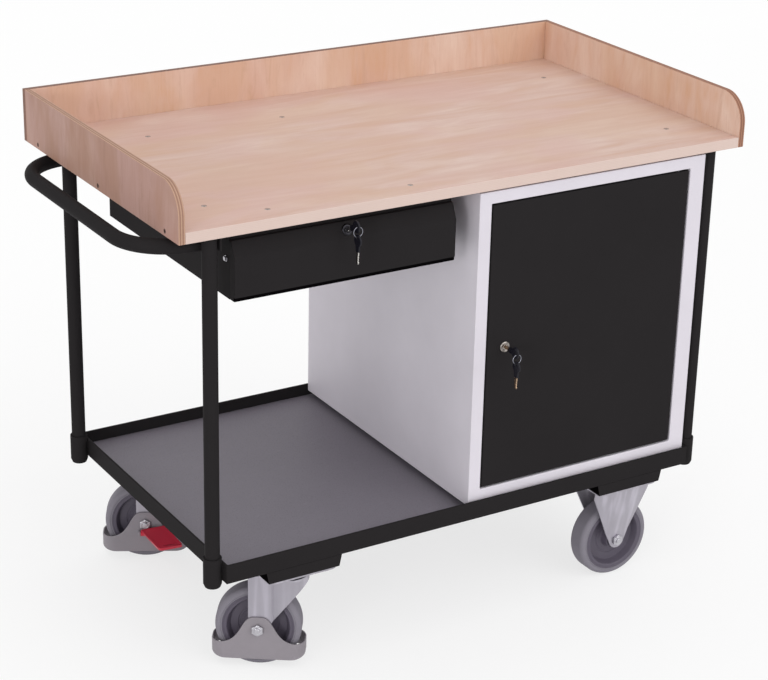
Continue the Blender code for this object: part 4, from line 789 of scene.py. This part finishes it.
def boltTree():
    wire, sources = startTree("hexBolt", ("Across", "Head Height", "Washer Radius", "Washer Height"))
    corner = sources["Across"] * (1.0 / math.sqrt(3.0))
    height, washer = sources["Head Height"], sources["Washer Height"]
    ring = wire.node("GeometryNodeMeshCylinder",
                     {"Vertices": 32, "Radius": sources["Washer Radius"], "Depth": washer})
    head = wire.node("GeometryNodeMeshCylinder",
                     {"Vertices": 6, "Radius": corner, "Depth": height * 0.8 + washer * 0.5})
    crown = wire.node("GeometryNodeMeshCone", {"Vertices": 6, "Radius Top": corner * 0.80,
                                               "Radius Bottom": corner * 0.97, "Depth": height * 0.22})
    whole = wire.node("GeometryNodeJoinGeometry", {0: [
        ring.lifted(washer * 0.5), head.lifted(washer * 0.75 + height * 0.4),
        crown.lifted(washer + height * 0.78)]})
    return endTree(wire, spread(wire, sources, whole), sources)


def beadTree():
    wire, sources = startTree("weldBead", ("Bead Radius", "Pitch"), ("Seed",))
    line = wire.node("GeometryNodeMeshToCurve", {"Mesh": sources["Geometry"]})
    spots = wire.node("GeometryNodeResampleCurve", {"Curve": line, "Length": sources["Pitch"]},
                      {"mode": "LENGTH"})
    drop = wire.node("GeometryNodeMeshIcoSphere", {"Radius": sources["Bead Radius"], "Subdivisions": 2})
    swell = wire.node("FunctionNodeRandomValue", {2: 0.86, 3: 1.14, "Seed": sources["Seed"]},
                      {"data_type": "FLOAT"}, 1)
    beads = wire.node("GeometryNodeInstanceOnPoints", {"Points": spots, "Instance": drop, "Scale": swell})
    return endTree(wire, beads, sources)


def runTree(tree, mesh, values):
    holder = addObject("holder", mesh)
    step = holder.modifiers.new("step", "NODES")
    step.node_group = tree
    for item in tree.interface.items_tree:
        if item.in_out == "INPUT" and item.name in values:
            step[item.identifier] = values[item.name]
    return evaluated(holder)


def lineMesh(spots, edges=()):
    mesh = bpy.data.meshes.new("spots")
    mesh.from_pydata(spots, edges, [])
    return mesh


def fasten(name, tree, places, values):
    spots = lineMesh([Vector(place) for place, facing in places])
    facings = spots.attributes.new("facing", "FLOAT_VECTOR", "POINT")
    for item, (place, facing) in zip(facings.data, places):
        item.vector = facing
    mesh = runTree(tree, spots, values)
    print(name, len(places), "places,", len(mesh.polygons), "faces")
    showPiece(name, meshOf(bmeshOf(mesh)), values["Finish"], "carcass", "zinc")


sunkScrew, hexBolt, weldBead = screwTree(), boltTree(), beadTree()

def screwSizes(finish, radius, depth, below, recess):
    return {"Head Radius": radius * mm, "Head Depth": depth * mm, "Below": below * mm,
            "Recess": recess * mm, "Finish": finish}


def boltSizes(finish, across, height, washerRadius, washerHeight):
    return {"Across": across * mm, "Head Height": height * mm, "Washer Radius": washerRadius * mm,
            "Washer Height": washerHeight * mm, "Finish": finish}


fasten("plateScrews", sunkScrew, plateScrews, screwSizes(plateScrew, 4.4, 1.6, 0.5, 2.0))
boardScrews = leftScrews + rightScrews + backScrews
fasten("boardScrews", sunkScrew, boardScrews, screwSizes(boardScrew, 3.4, 1.4, 0.5, 1.4))

runnerBolt = {"level": 0.8005, "rows": (-0.2295, -0.02, 0.165), "raised": (-0.2590, 0.8190)}
runnerBolts = [((x, y, runnerBolt["level"]), (facing, 0.0, 0.0))
               for x, facing in ((housingLow.x, -1.0), (housingHigh.x, 1.0)) for y in runnerBolt["rows"]]
runnerBolts[0] = ((housingLow.x, *runnerBolt["raised"]), (-1.0, 0.0, 0.0))   # higher in the photo
fasten("housingBolts", hexBolt, runnerBolts, boltSizes(brightZinc, 8.0, 3.2, 5.4, 0.9))

plateSlots = {"front_left_castor_plate": (52.5, 40.0), "rear_left_castor_plate": (52.5, 40.0),
              "front_right_fork": (42.0, 25.0), "rear_right_fork": (42.0, 25.0)}
plateThick = 4.0 * mm


def plateBolts(node, slotX, slotY):
    low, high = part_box(node)
    centre, under = (low + high) / 2, high.z - plateThick
    return [((centre.x + x * slotX * mm, centre.y + y * slotY * mm, under), (0.0, 0.0, -1.0))
            for x in (-1, 1) for y in (-1, 1)]


castorBolts = [place for node, slots in plateSlots.items() for place in plateBolts(node, *slots)]
fasten("castorBolts", hexBolt, castorBolts, boltSizes(zincSteel, 13.0, 5.2, 8.6, 1.4))

weld = {"Bead Radius": 1.9 * mm, "Pitch": 2.2 * mm, "Seed": 7, "Finish": anthracitePaint,
        **inMm(lift=2.4, top=47.0, wallOut=14.6, sideOut=9.2)}


def socketWelds(look):
    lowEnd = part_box("castor_bearer_left")[1].z + look["lift"]
    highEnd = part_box("deck_frame")[0].z + look["top"]
    spots, edges = [], []
    for legNode in legNodes:
        legLow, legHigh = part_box(legNode)
        centre = (legLow + legHigh) / 2
        wall = -look["wallOut"] if centre.x > 0 else look["wallOut"]
        for side in (-look["sideOut"], look["sideOut"]):
            edges.append((len(spots), len(spots) + 1))
            spots += [(centre.x + wall, centre.y + side, level) for level in (lowEnd, highEnd)]
    beads = runTree(weldBead, lineMesh(spots, edges), look)
    showPiece("socketWelds", beads, anthracitePaint, "carcass", "anthracite_paint")


socketWelds(weld)
print("fasteners and welds made")


# Castors: fine tyres, rims, bolts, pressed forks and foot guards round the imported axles

castor = dict(
    inMm(wheelRadius=80.0, tyreHalf=21.0, tyreInner=67.0, crown=9.0, treadFall=0.1, treadHalf=4.0, axle=6.4,
         hubHalf=23.0, rimOuter=66.7, boltAcross=20.1925, boltHeight=7.5, boltSeat=1.2, shank=6.0,
         trail=55.0, forkHalf=29.75, forkSheet=3.5, forkTop=190.0, forkEase=0.4, eye=17.5, fold=24.5,
         pressStep=2.0, pressRun=4.0, nose=37.0, noseLow=176.0, noseShoulder=10.5, hollow=7.0, shoulder=4.0,
         crownRadius=34.0, crownSlope=1.2, crownHeight=1.6, crownGap=0.6, pinBore=7.4),
    steps=112, crownSteps=11, shankSteps=32, washerSteps=40, eyeLean=math.radians(18.0), eyeSteps=12,
    noseSteps=26, noseShare=0.7, shoulderSteps=6, rearSteps=8)
tyreGroove = [(0.0, 0.0), (1.2, 0.0), (1.7, -0.7), (2.5, -0.7), (3.1, -0.1)]
rimTurning = [
    (12.0, 23.0), (12.6, 22.2), (18.6, 22.2), (19.2, 23.0), (20.2, 23.0), (21.0, 22.2), (22.2, 9.4),
    (23.4, 7.2), (25.6, 6.1), (33.0, 6.0), (33.6, 5.0), (37.6, 5.0), (38.2, 6.0), (50.4, 6.0), (52.2, 6.7),
    (53.4, 8.6), (57.2, 18.4), (58.0, 20.0), (59.4, 20.9), (62.2, 21.0), (62.7, 20.4), (64.2, 20.4),
    (64.8, 21.0)]
boltWasher = [(0.0, 1.2), (9.0, 1.2), (9.6, 0.8), (9.6, 0.0), (0.0, 0.0)]
nutCollar = [(0.0, 7.5), (4.3, 7.5), (5.1, 6.9), (5.1, 6.5), (4.6, 6.3), (5.1, 6.1), (5.1, 5.6), (6.1, 5.8),
             (7.3, 6.1), (8.0, 5.5), (8.0, 4.2), (0.0, 4.2)]
axleEnds = ({"turning": [boltWasher, nutCollar], "height": 4.0 * mm, "top": "flat", "turn": 180},
            {"turning": [boltWasher], "height": 5.4 * mm, "top": "domed", "turn": 0})
hexShape = {
    "sides": 48, "chamfer": 0.97, "rounding": ((0.0, 0.0), (0.82, 0.0), (0.93, 0.55), (1.0, 1.0)),
    "flat": ((0.70, 1.0), (0.66, 0.95)), "domed": ((0.62, 1.16), (0.42, 1.16)),
}
swivelCorners, fixedCorners = ("front_left", "rear_left"), ("front_right", "rear_right")


def wheelFrame(prefix):
    joint = joints[prefix + "_wheel_spin"]
    across = Vector(joint["axis"]).normalized()
    ahead = across.cross(upward).normalized()
    turn = Matrix((ahead, across, upward)).transposed().to_4x4()
    return Matrix.Translation(joint["pos_m"]) @ turn


def swivelBase(prefix):
    pivot = joints[prefix + "_swivel_turn"]["pos_m"]
    return shift(pivot[0], pivot[1])


def bothSides(upper, middle=()):
    return upper + list(middle) + [(radius, -wide) for radius, wide in reversed(upper)]


def tyreProfile(look):
    radius, half, crown = look["wheelRadius"], look["tyreHalf"], look["crown"]
    upper = [(look["tyreInner"] + out, half + rise) for out, rise in sized(tyreGroove)]
    upper += arcPoints((radius - crown, half - crown), crown, 88, 0, look["crownSteps"])
    upper.append((radius - look["treadFall"], look["treadHalf"]))
    return bothSides(upper, [(radius, 0.0)])


def rimProfile(look):
    bore, outer = (look["axle"], look["hubHalf"]), (look["rimOuter"], look["tyreHalf"])
    return bothSides([bore] + sized(rimTurning) + [outer])


def hexHead(across, height, top, look):
    flat, chamfer = across / 2, across / 2 * look["chamfer"]
    turns = turnsOf(look["sides"])
    sixth = math.pi / 6
    rings = []
    for share, rounding in look["rounding"]:
        ring = []
        for turn in turns:
            corner = flat / math.cos((turn + sixth) % (2 * sixth) - sixth)
            radius = corner * (1.0 - rounding) + min(corner, chamfer) * rounding
            ring.append(around(radius, turn, share * height))
        rings.append(ring)
    for share, rise in look[top]:
        rings.append([around(chamfer * share, turn, rise * height) for turn in turns])
    return cappedLoft(rings)


def makeAxleBolt(prefix, look):
    node = prefix + "_axle_bolt"
    place = wheelFrame(prefix)
    across = place.to_3x3().col[1]
    reach = max(abs((v.co - place.translation).dot(across)) for v in nodes[node].data.vertices)
    seat = reach - look["boltHeight"]
    parts = [rod(look["shank"], seat, look["shankSteps"])]
    for end in axleEnds:
        pieces = [lathe(sized(profile), look["washerSteps"], False) for profile in end["turning"]]
        head = hexHead(look["boltAcross"], end["height"], end["top"], hexShape)
        pieces.append(placed(head, shift(y=look["boltSeat"])))
        parts += [placed(bm, turned(end["turn"], "Z") @ shift(y=seat)) for bm in pieces]
    showNode(node, placed(joined(*parts), place), brightZinc)


def forkPath(look):
    # half of the swivel fork's wall seen from above, with the height of its lower edge
    eye, half, nose, trail = look["eye"], look["forkHalf"], look["nose"], look["trail"]
    axle, lean, steps = look["wheelRadius"], look["eyeLean"], look["eyeSteps"]
    rows = []
    for step in range(steps + 1):
        turn = lean + (math.pi - 2.0 * lean) * step / steps
        rows.append((-trail - eye * math.cos(turn) / math.cos(lean), -half, axle - eye * math.sin(turn)))
    riseFrom, foldX = eye - trail, look["fold"] - trail
    soft = [(foldX + look["pressRun"] * share, look["pressStep"] * soften(share) - half)
            for share in (0.0, 0.2, 0.4, 0.6, 0.8, 1.0)]
    startX, startY = soft[-1]
    touch = math.atan2(startY, startX) + math.acos(nose / math.hypot(startX, startY))
    turns = [touch * (1.0 - k / look["noseSteps"]) for k in range(look["noseSteps"] + 1)]
    curve = [(nose * math.cos(turn), nose * math.sin(turn)) for turn in turns]
    goX, goY = curve[0][0] - startX, curve[0][1] - startY
    soft += [(startX + goX * share, startY + goY * share) for share in (0.25, 0.5, 0.75)]
    for x, y in soft + curve:
        share = max(0.0, (x - riseFrom) / (nose - riseFrom))
        hollow = look["hollow"] * math.sin(math.pi * share)   # draws the lower edge up in a curve
        rows.append((x, y, axle + (look["noseLow"] - axle) * share + hollow))
    return rows


def forkColumns(look):
    half = forkPath(look)
    rows = half + [(x, -y, low) for x, y, low in reversed(half[:-1])]
    foldX, fullX, top = look["fold"] - look["trail"], look["nose"] * look["noseShare"], look["forkTop"]
    columns = []
    for i, (x, y, low) in enumerate(rows):
        before, after = rows[max(i - 1, 0)], rows[min(i + 1, len(rows) - 1)]
        along = Vector((after[0] - before[0], after[1] - before[1])).normalized()
        share = min(1.0, max(0.0, (x - foldX) / (fullX - foldX)))
        radius = look["shoulder"] + (look["noseShoulder"] - look["shoulder"]) * soften(share)
        column = [(x, y, low)]
        for inset, height in arcPoints((radius, top - radius), radius, 180, 90, look["shoulderSteps"]):
            column.append((x - along.y * inset, y + along.x * inset, height))
        columns.append(column)
    return columns


def makeSwivelFork(prefix, look):
    bm, columns = loft(forkColumns(look), False)
    rim = [column[-1] for column in columns]
    steps = look["rearSteps"]
    rear = [bm.verts.new(rim[-1].co.lerp(rim[0].co, step / steps)) for step in range(1, steps)]
    loop, middle = rim + rear, (len(rim) - 1) / 2
    top, crownTop = look["forkTop"], look["forkTop"] + look["crownHeight"]
    for radius, height, evening in ((look["crownRadius"], top, 0.2),
                                    (look["crownRadius"] - look["crownSlope"], crownTop, 0.2),
                                    (look["pinBore"], crownTop, 1.0)):
        ring = []
        for vert, even in zip(loop, [2.0 * math.pi * (i - middle) / len(loop) for i in range(len(loop))]):
            own = math.atan2(vert.co.y, vert.co.x)
            own += 2.0 * math.pi * round((even - own) / (2.0 * math.pi))
            turn = own + (even - own) * evening
            reach = min(radius, math.hypot(vert.co.x, vert.co.y) - look["crownGap"])
            ring.append(bm.verts.new((reach * math.cos(turn), reach * math.sin(turn), height)))
        bridge(bm, loop, ring)
        loop = ring
    facedOut(bm)
    if max(bm.faces, key=lambda face: face.calc_center_median().z).normal.z < 0:
        bmesh.ops.reverse_faces(bm, faces=bm.faces)
    bm = thickened(bm, look["forkSheet"], False, look["forkEase"], 2, 60.0)
    placed(bm, swivelBase(prefix) @ wheelFrame(prefix).to_3x3().to_4x4())
    showNode(prefix + "_fork", bm, zincSteel, sharpAngle=40.0)


fixedFork = dict(
    inMm(armHalf=65.0, armRise=104.5, armTop=122.0, fold=16.0, softness=7.0, bead=1.0, beadAt=27.0,
         beadHalf=3.4, beadFrom=34.0, beadFade=16.0, plateCut=201.5, ease=0.6),
    bend=math.radians(11.0), flare=math.radians(9.5), firstTurn=math.radians(-78.0), rows=36, columns=56,
    eyeRows=12)


def armLevels(look):
    # heights above the axle, with the arm's half width there
    eye, first, rows = castor["eye"], look["firstTurn"], look["rows"]
    far = math.hypot(look["armHalf"], look["armRise"])
    touch = math.atan2(look["armRise"], look["armHalf"]) - math.acos(eye / far)
    turns = [first + (touch - first) * k / look["eyeRows"] for k in range(look["eyeRows"] + 1)]
    levels = [(eye * math.sin(turn), eye * math.cos(turn)) for turn in turns]
    startZ, startX = levels[-1]
    growZ, growX = look["armRise"] - startZ, look["armHalf"] - startX
    levels += [(startZ + growZ * (k / rows), startX + growX * (k / rows)) for k in range(1, rows + 1)]
    return levels + [(look["armTop"], look["armHalf"])]


def armSkin(x, z, look):
    fade = min(1.0, max(0.0, (z - look["beadFrom"]) / look["beadFade"]))
    past = abs(x) - look["fold"]
    lean = (past + math.hypot(past, look["softness"])) / 2 * math.tan(look["bend"])
    rib = look["bead"] * fade * math.exp(-((abs(x) - look["beadAt"]) / look["beadHalf"]) ** 2)
    return castor["forkHalf"] + max(0.0, z - castor["eye"]) * math.tan(look["flare"]) + rib - lean


def armShape(look, side):
    sheet, ease = castor["forkSheet"], look["ease"]
    turns = [math.radians(angle) for angle in (30, 60, 90)]
    rim = [(ease * math.sin(turn), ease * (1.0 - math.cos(turn))) for turn in turns]
    rings = []
    for z, wide in armLevels(look):
        flat = wide - ease
        across = [flat * (2.0 * k / look["columns"] - 1.0) for k in range(look["columns"] + 1)]
        ring = [(x, 0.0) for x in across]
        ring += [(flat + run, depth) for run, depth in rim]
        ring += [(flat + run, sheet - depth) for run, depth in reversed(rim)]
        ring += [(-x, sheet - depth) for x, depth in ring]
        rings.append([(x, side * (armSkin(x, z, look) - depth), z) for x, depth in ring])
    return cappedLoft(rings)


def makeFixedFork(prefix, look):
    node = prefix + "_fork"
    arms = [placed(armShape(look, side), wheelFrame(prefix)) for side in (-1.0, 1.0)]
    plate = cleanCopy(node, False)
    cutLevel(plate, look["plateCut"], True)
    bmesh.ops.holes_fill(plate, edges=[e for e in plate.edges if e.is_boundary], sides=0)
    showNode(node, joined(*arms, facedOut(plate)), zincSteel, sharpAngle=40.0)


guard = dict(
    inMm(sheet=2.8, halfWidth=32.85, halfLength=86.8, planCorner=26.0, bottom=18.0, endTop=48.0,
         cheekRise=25.0, cheekHalf=34.0, endRise=7.0, endRun=32.0, ease=0.9),
    cheekPower=4.1, cornerSteps=14, sideSteps=44)


def guardHeights(x, look):
    axle = castor["wheelRadius"]
    swell = 1.0 / (1.0 + (abs(x) / look["cheekHalf"]) ** look["cheekPower"])
    top = look["endTop"] + (axle + look["cheekRise"] - look["endTop"]) * swell
    past = max(0.0, abs(x) - (look["halfLength"] - look["endRun"])) / look["endRun"]
    bottom = look["bottom"] + look["endRise"] * (1.0 - math.sqrt(max(0.0, 1.0 - past ** 2)))
    return bottom - axle, top - axle


def makeGuard(prefix, look):
    corner, wide, steps = look["planCorner"], look["halfWidth"], look["cornerSteps"]
    x, y = look["halfLength"] - corner, wide - corner
    side = [(x - 2 * x * i / look["sideSteps"], wide) for i in range(1, look["sideSteps"])]
    half = arcPoints((x, y), corner, 0, 90, steps) + side + arcPoints((-x, y), corner, 90, 180, steps)
    plan = half + [(-px, -py) for px, py in half[1:-1]]
    rings = []
    for share in (0.0, 0.34, 0.67, 1.0):
        ring = []
        for px, py in plan:
            bottom, top = guardHeights(px, look)
            ring.append((px, py, bottom + (top - bottom) * share))
        rings.append(ring)
    bm = loft(rings)[0]
    bmesh.ops.remove_doubles(bm, verts=bm.verts, dist=1e-6)
    facedOut(bm)
    if max(bm.faces, key=lambda face: face.calc_center_median().y).normal.y < 0:
        bmesh.ops.reverse_faces(bm, faces=bm.faces)
    bm = thickened(bm, look["sheet"], True, look["ease"], 3, 50.0)
    showNode(prefix + "_foot_guard", placed(bm, wheelFrame(prefix)), guardPlastic, sharpAngle=40.0)


# a seal ring in near-black plastic under each swivel plate, put there to give the dark shadow band between plate
# and fork: painted shade
raceSealShade = {"steps": 72, "turning": [(24.0, 191.7), (35.0, 191.7), (35.7, 191.4), (36.0, 190.7),
                                     (36.0, 186.4), (35.6, 185.6), (34.6, 185.2), (24.0, 188.0)]}


def makeRaceSealShade(prefix, look):
    bm = placed(lathe(sized(look["turning"]), look["steps"]), swivelBase(prefix) @ turned(90, "X"))
    showPiece(prefix + "_raceSeal", meshOf(bm), keyPlastic, prefix + "_swivel", "key_black")


wheelParts = (("_tyre", tyreProfile(castor), tyreRubber), ("_rim", rimProfile(castor), rimPlastic))
for prefix in swivelCorners + fixedCorners:
    for part, profile, finish in wheelParts:
        showNode(prefix + part, placed(lathe(profile, castor["steps"]), wheelFrame(prefix)), finish)
    makeAxleBolt(prefix, castor)
for prefix in fixedCorners:
    makeFixedFork(prefix, fixedFork)
for prefix in swivelCorners:
    makeSwivelFork(prefix, castor)
    makeGuard(prefix, guard)
    makeRaceSealShade(prefix, raceSealShade)


# Brake pedal with its ears on the rear left guard

pedal = dict(inMm(ease=1.9, length=41.0, ear=4.0, earRadius=5.5, earReach=7.5, earEase=0.7, pin=2.0,
                  pinPast=0.8, gap=0.3),
             treadInsets=[(5.0, 0.0), (2.2, -1.1)], earSteps=16, pinSteps=20)


def makePedal(node, look):
    bm = cleanCopy(node)
    tread = max((face for face in bm.faces if face.normal.z > 0.7), key=lambda face: face.calc_area())
    rims = rimsOf(bm, 40.0)
    for inset, depth in sized(look["treadInsets"]):
        bmesh.ops.inset_region(bm, faces=[tread], thickness=inset, depth=depth)
    easeRims(bm, [rim for rim in rims if rim.is_valid], look["ease"], 4, True)
    showPiece("brakePedal", meshOf(bm, 40.0), pedalPlastic, bodyOf[node], slotOf[node], [node])


def makePedalEars(look):
    turn = wheelFrame("rear_left").to_3x3().to_4x4()
    place = Matrix.Translation(joints["rear_left_pedal_press"]["pos_m"]) @ turn
    radius, reach, sideways = look["earRadius"], look["earReach"], look["length"] / 2 + look["gap"]
    shape = arcPoints((0.0, 0.0), radius, 90, 270, look["earSteps"]) + [(reach, -radius), (reach, radius)]
    middle = sideways + look["ear"] / 2
    ears = joined(*[stoodUp(slab(shape, look["ear"], look["earEase"]), x) for x in (-middle, middle)])
    showPiece("pedalEars", meshOf(placed(ears, place)), guardPlastic, "rear_left_swivel", "guard_grey")
    pin = rod(look["pin"], sideways + look["ear"] + look["pinPast"], look["pinSteps"])
    placed(pin, place @ turned(-90, "Z"))
    showPiece("pedalPin", meshOf(pin), zincSteel, "rear_left_swivel", "zinc")


makePedal("rear_left_brake_pedal", pedal)
makePedalEars(pedal)
print("castors made")


# Cam locks, keys, rings and hanging spare keys

lock = dict(
    inMm(flange=10.5, flangeThick=2.5, body=8.0, length=24.0, nut=20.01, nutThick=4.0, plug=5.2, gap=0.3,
         sheet=1.5, lipEase=0.5, keywayWide=2.8, keywayTall=8.2, keywayDeep=18.0, keywayOver=1.0,
         camWide=12.0, camThick=2.5, camCorner=2.0, camEase=0.4, drawerCam=33.0, doorCam=50.0),
    flangeRound=[(-2.6, 0.0), (-1.2, -0.35), (-0.3, -1.1), (0.0, -2.0)], bodySteps=56, plugSteps=48,
    camSteps=20)
key = dict(
    inMm(bowRadius=11.2, bowThick=4.0, bowCentre=32.0, holeOut=6.2, holeRadius=2.6, holeEase=0.5,
         bladeTall=7.4, bladeThick=2.2, bladeEase=0.25, tip=10.9, cutHalf=0.7, neckTall=9.6, neckThick=3.6,
         neckLength=11.0, neckBack=2.0, neckFlare=1.2, neckEase=0.6, ringRadius=8.8, ringWire=0.8,
         ringSlack=0.6),
    bowSteps=56, waist=0.20, bowRound=[(-1.4, 0.0), (-0.4, -0.5), (0.0, -1.4)], cutFrom=0.38, cutRun=0.56,
    cuts=[(0.2, 0.5), (0.33, 1.7), (0.44, 0.7), (0.55, 2.0), (0.66, 1.1), (0.78, 1.8), (0.88, 0.6)],
    tipShape=[(-1.2, -1.9), (0.0, 0.4), (-2.6, 3.7)], bladeFrom=0.8, ringSteps=48, ringSides=12)
lockFace = lock["flangeThick"] + lock["gap"]


def lockFrame(prefix, outward):
    joint = joints[prefix + "_lock_turn"]
    out = Vector(joint["axis"]) * outward
    return Matrix.Translation(joint["pos_m"]) @ Matrix.Rotation(math.atan2(-out.z, -out.y), 4, "X")


def makeLockBody(prefix, place, finish, look):
    bore, rim, gap, ease = look["plug"] + look["gap"], look["flange"], look["gap"], look["lipEase"]
    profile = [(bore, lockFace - ease), (bore + ease, lockFace)]
    profile += [(rim + out, lockFace + rise) for out, rise in sized(look["flangeRound"])]
    profile += [(rim, gap), (look["body"], gap), (look["body"], -look["length"]), (bore, -look["length"])]
    shell = lathe([(radius, -along) for radius, along in profile], look["bodySteps"])
    nut = placed(hexHead(look["nut"], look["nutThick"], "flat", hexShape), shift(y=look["sheet"] + gap))
    showNode(prefix + "_lock_body", placed(joined(shell, nut), place), finish)


def makeLockPlug(prefix, place, finish, cam, camTurn, look):
    plug, ease, corner = look["plug"], look["lipEase"], look["camCorner"]
    tail = look["length"] + look["gap"] + look["camThick"]
    profile = [(0.0, -lockFace), (plug - ease, -lockFace), (plug, ease - lockFace), (plug, tail),
               (0.0, tail)]
    wide, tall = look["keywayWide"] / 2, look["keywayTall"] / 2
    way = block((-wide, -lockFace - look["keywayOver"], -tall), (wide, look["keywayDeep"], tall))
    core = bmeshOf(carved(meshOf(lathe(profile, look["plugSteps"], False)), meshOf(way)))
    half = look["camWide"] / 2
    shape = arcPoints((0.0, 0.0), half, 90, 270, look["camSteps"]) + [
        (cam - corner, -half), (cam, corner - half), (cam, half - corner), (cam - corner, half)]
    back = shift(y=tail - look["camThick"] / 2) @ turned(camTurn, "Y") @ turned(90, "X")
    arm = placed(slab(shape, look["camThick"], look["camEase"]), back)
    showNode(prefix + "_lock_plug", placed(joined(core, arm), place), finish)


def keyBow(look):
    out, hole, ease = look["bowRadius"], look["holeRadius"], look["holeEase"]
    centre, thick = -look["bowCentre"], look["bowThick"] / 2
    holeY = centre - look["holeOut"]
    rows = [(hole + ease, holeY, thick)]
    rows += [(out + inset, centre, thick + fall) for inset, fall in sized(look["bowRound"])]
    rows += [(radius, middle, -x) for radius, middle, x in reversed(rows)]
    rows += [(hole, holeY, ease - thick), (hole, holeY, thick - ease)]
    rings = []
    for radius, middle, x in rows:
        ring = []
        for turn in turnsOf(look["bowSteps"]):
            reach = radius
            if middle == centre:   # waisted towards the blade
                reach *= 1.0 - look["waist"] * max(0.0, math.cos(turn)) ** 2 * abs(math.sin(turn))
            ring.append((x, middle + reach * math.cos(turn), reach * math.sin(turn)))
        rings.append(ring)
    return facedOut(loft(rings, closedAlong=True)[0])


def keyShape(look):
    # the bow lies in Y and Z with its ring hole outwards along -Y, and the blade points along +Y
    half, tip = look["bladeTall"] / 2, look["tip"]
    start = -look["bowCentre"] + look["bowRadius"] * look["bladeFrom"]
    shape = [(start, -half)]
    for share, depth in look["cuts"]:
        y = start + (tip - start) * (look["cutFrom"] + look["cutRun"] * share)
        shape += [(y + edge, depth * mm - half) for edge in (-look["cutHalf"], look["cutHalf"])]
    shape += [(tip + y, z) for y, z in sized(look["tipShape"])] + [(start, half)]
    blade = stoodUp(slab(shape, look["bladeThick"], look["bladeEase"], 1))
    for face in blade.faces:
        face.material_index = 1
    tall, back, end = look["neckTall"] / 2, start - look["neckBack"], start + look["neckLength"]
    flared = tall + look["neckFlare"]
    shape = [(back, -flared), (end, -tall), (end, tall), (back, flared)]
    neck = stoodUp(slab(shape, look["neckThick"], look["neckEase"], 2))
    return joined(keyBow(look), neck, blade)


def ringShape(look):
    rings = []
    for turn in turnsOf(look["ringSteps"]):
        ring = []
        for roll in turnsOf(look["ringSides"]):
            wire = look["ringWire"]
            reach = look["ringRadius"] + wire * math.cos(roll)
            ring.append((reach * math.cos(turn), reach * math.sin(turn), wire * math.sin(roll)))
        rings.append(ring)
    return facedOut(loft(rings, closedAlong=True)[0])


def makeKeys(prefix, place, bladeFinish, look):
    finishes = (keyPlastic, bladeFinish)
    showNode(prefix + "_key", placed(keyShape(look), place @ shift(y=-lockFace)), finishes)
    pivot = Matrix.Translation(joints[prefix + "_key_swing"]["pos_m"])
    hang = look["holeRadius"] - look["ringWire"] - look["ringSlack"]
    centre = -hang - look["ringRadius"]
    ring = placed(ringShape(look), pivot @ shift(z=centre) @ turned(90, "X"))
    showNode(prefix + "_key_ring", ring, ringNickel)
    drop = centre - look["ringRadius"] - hang - look["holeOut"] - look["bowCentre"]
    spare = placed(keyShape(look), pivot @ shift(z=drop) @ turned(-90, "X"))
    showNode(prefix + "_spare_key", spare, finishes)


for prefix, outward, lockFinish, bladeFinish, cam, camTurn in (
        ("drawer", 1.0, darkNickel, nickelPlate, lock["drawerCam"], 0),
        ("door", -1.0, nickelPaintedReflection, brassPlate, lock["doorCam"], 90)):
    place = lockFrame(prefix, outward)
    makeLockBody(prefix, place, lockFinish, lock)
    makeLockPlug(prefix, place, lockFinish, cam, camTurn, lock)
    makeKeys(prefix, place, bladeFinish, key)
print("locks and keys made")


# Studio: pale floor, soft light

studio = {
    "floorTone": (0.95, 0.95, 0.95, 1.0), "floorHalf": 40.0, "floorDrop": 0.2 * mm, "floorGlow": 0.72,
    "worldFill": 0.70,
    "suns": [("frontSun", (0.30, -0.80, 0.52), 0.70, 50.0), ("topSun", (-0.10, -0.10, 1.0), 0.55, 80.0),
             ("sideSun", (-0.84, -0.54, 0.20), 0.60, 16.0)],
}


def seenDirectly(wire):
    paths = wire.node("ShaderNodeLightPath").socket.node.outputs
    camera, glossy, through = [Wire(wire.tree, paths[label]) for label in
                               ("Is Camera Ray", "Is Glossy Ray", "Is Transmission Ray")]
    return wire.calc("MAXIMUM", wire.calc("MAXIMUM", camera, glossy), through)


def makeFloor(look):
    half = look["floorHalf"]
    corners = [(x * half, y * half, 0.0) for x, y in ((-1, -1), (1, -1), (1, 1), (-1, 1))]
    mesh = bpy.data.meshes.new("floor")
    mesh.from_pydata(corners, [], [(0, 1, 2, 3)])
    wire, finished = startFinish("floorPaint", Roughness=0.9, Specular_IOR_Level=0.0,
                                 Base_Color=look["floorTone"])
    parts = wire.tree.nodes
    glow = wire.node("ShaderNodeEmission", {"Color": white, "Strength": 1.0})
    paint = Wire(wire.tree, parts["Principled BSDF"].outputs[0])
    paper = wire.node("ShaderNodeMixShader", {0: seenDirectly(wire) * look["floorGlow"], 1: paint, 2: glow})
    wire.tree.links.new(paper.socket, parts["Material Output"].inputs["Surface"])
    mesh.materials.append(finished({}))
    floor = addObject("floor", mesh)
    floor.location.z = -look["floorDrop"]


def makeLight(look):
    world = bpy.data.worlds.new("studio")
    world.use_nodes = True
    scene.world = world
    back = world.node_tree.nodes["Background"]
    back.inputs["Color"].default_value = white
    strength = look["worldFill"] + seenDirectly(Wire(world.node_tree)) * (1.0 - look["worldFill"])
    world.node_tree.links.new(strength.socket, back.inputs["Strength"])
    for name, towards, power, spreadAngle in look["suns"]:
        lamp = bpy.data.lights.new(name, "SUN")
        lamp.energy, lamp.angle = power, math.radians(spreadAngle)
        addObject(name, lamp).rotation_euler = Vector(towards).to_track_quat("Z", "Y").to_euler()


makeFloor(studio)
makeLight(studio)
scene.view_settings.view_transform = "Standard"
print("studio made")
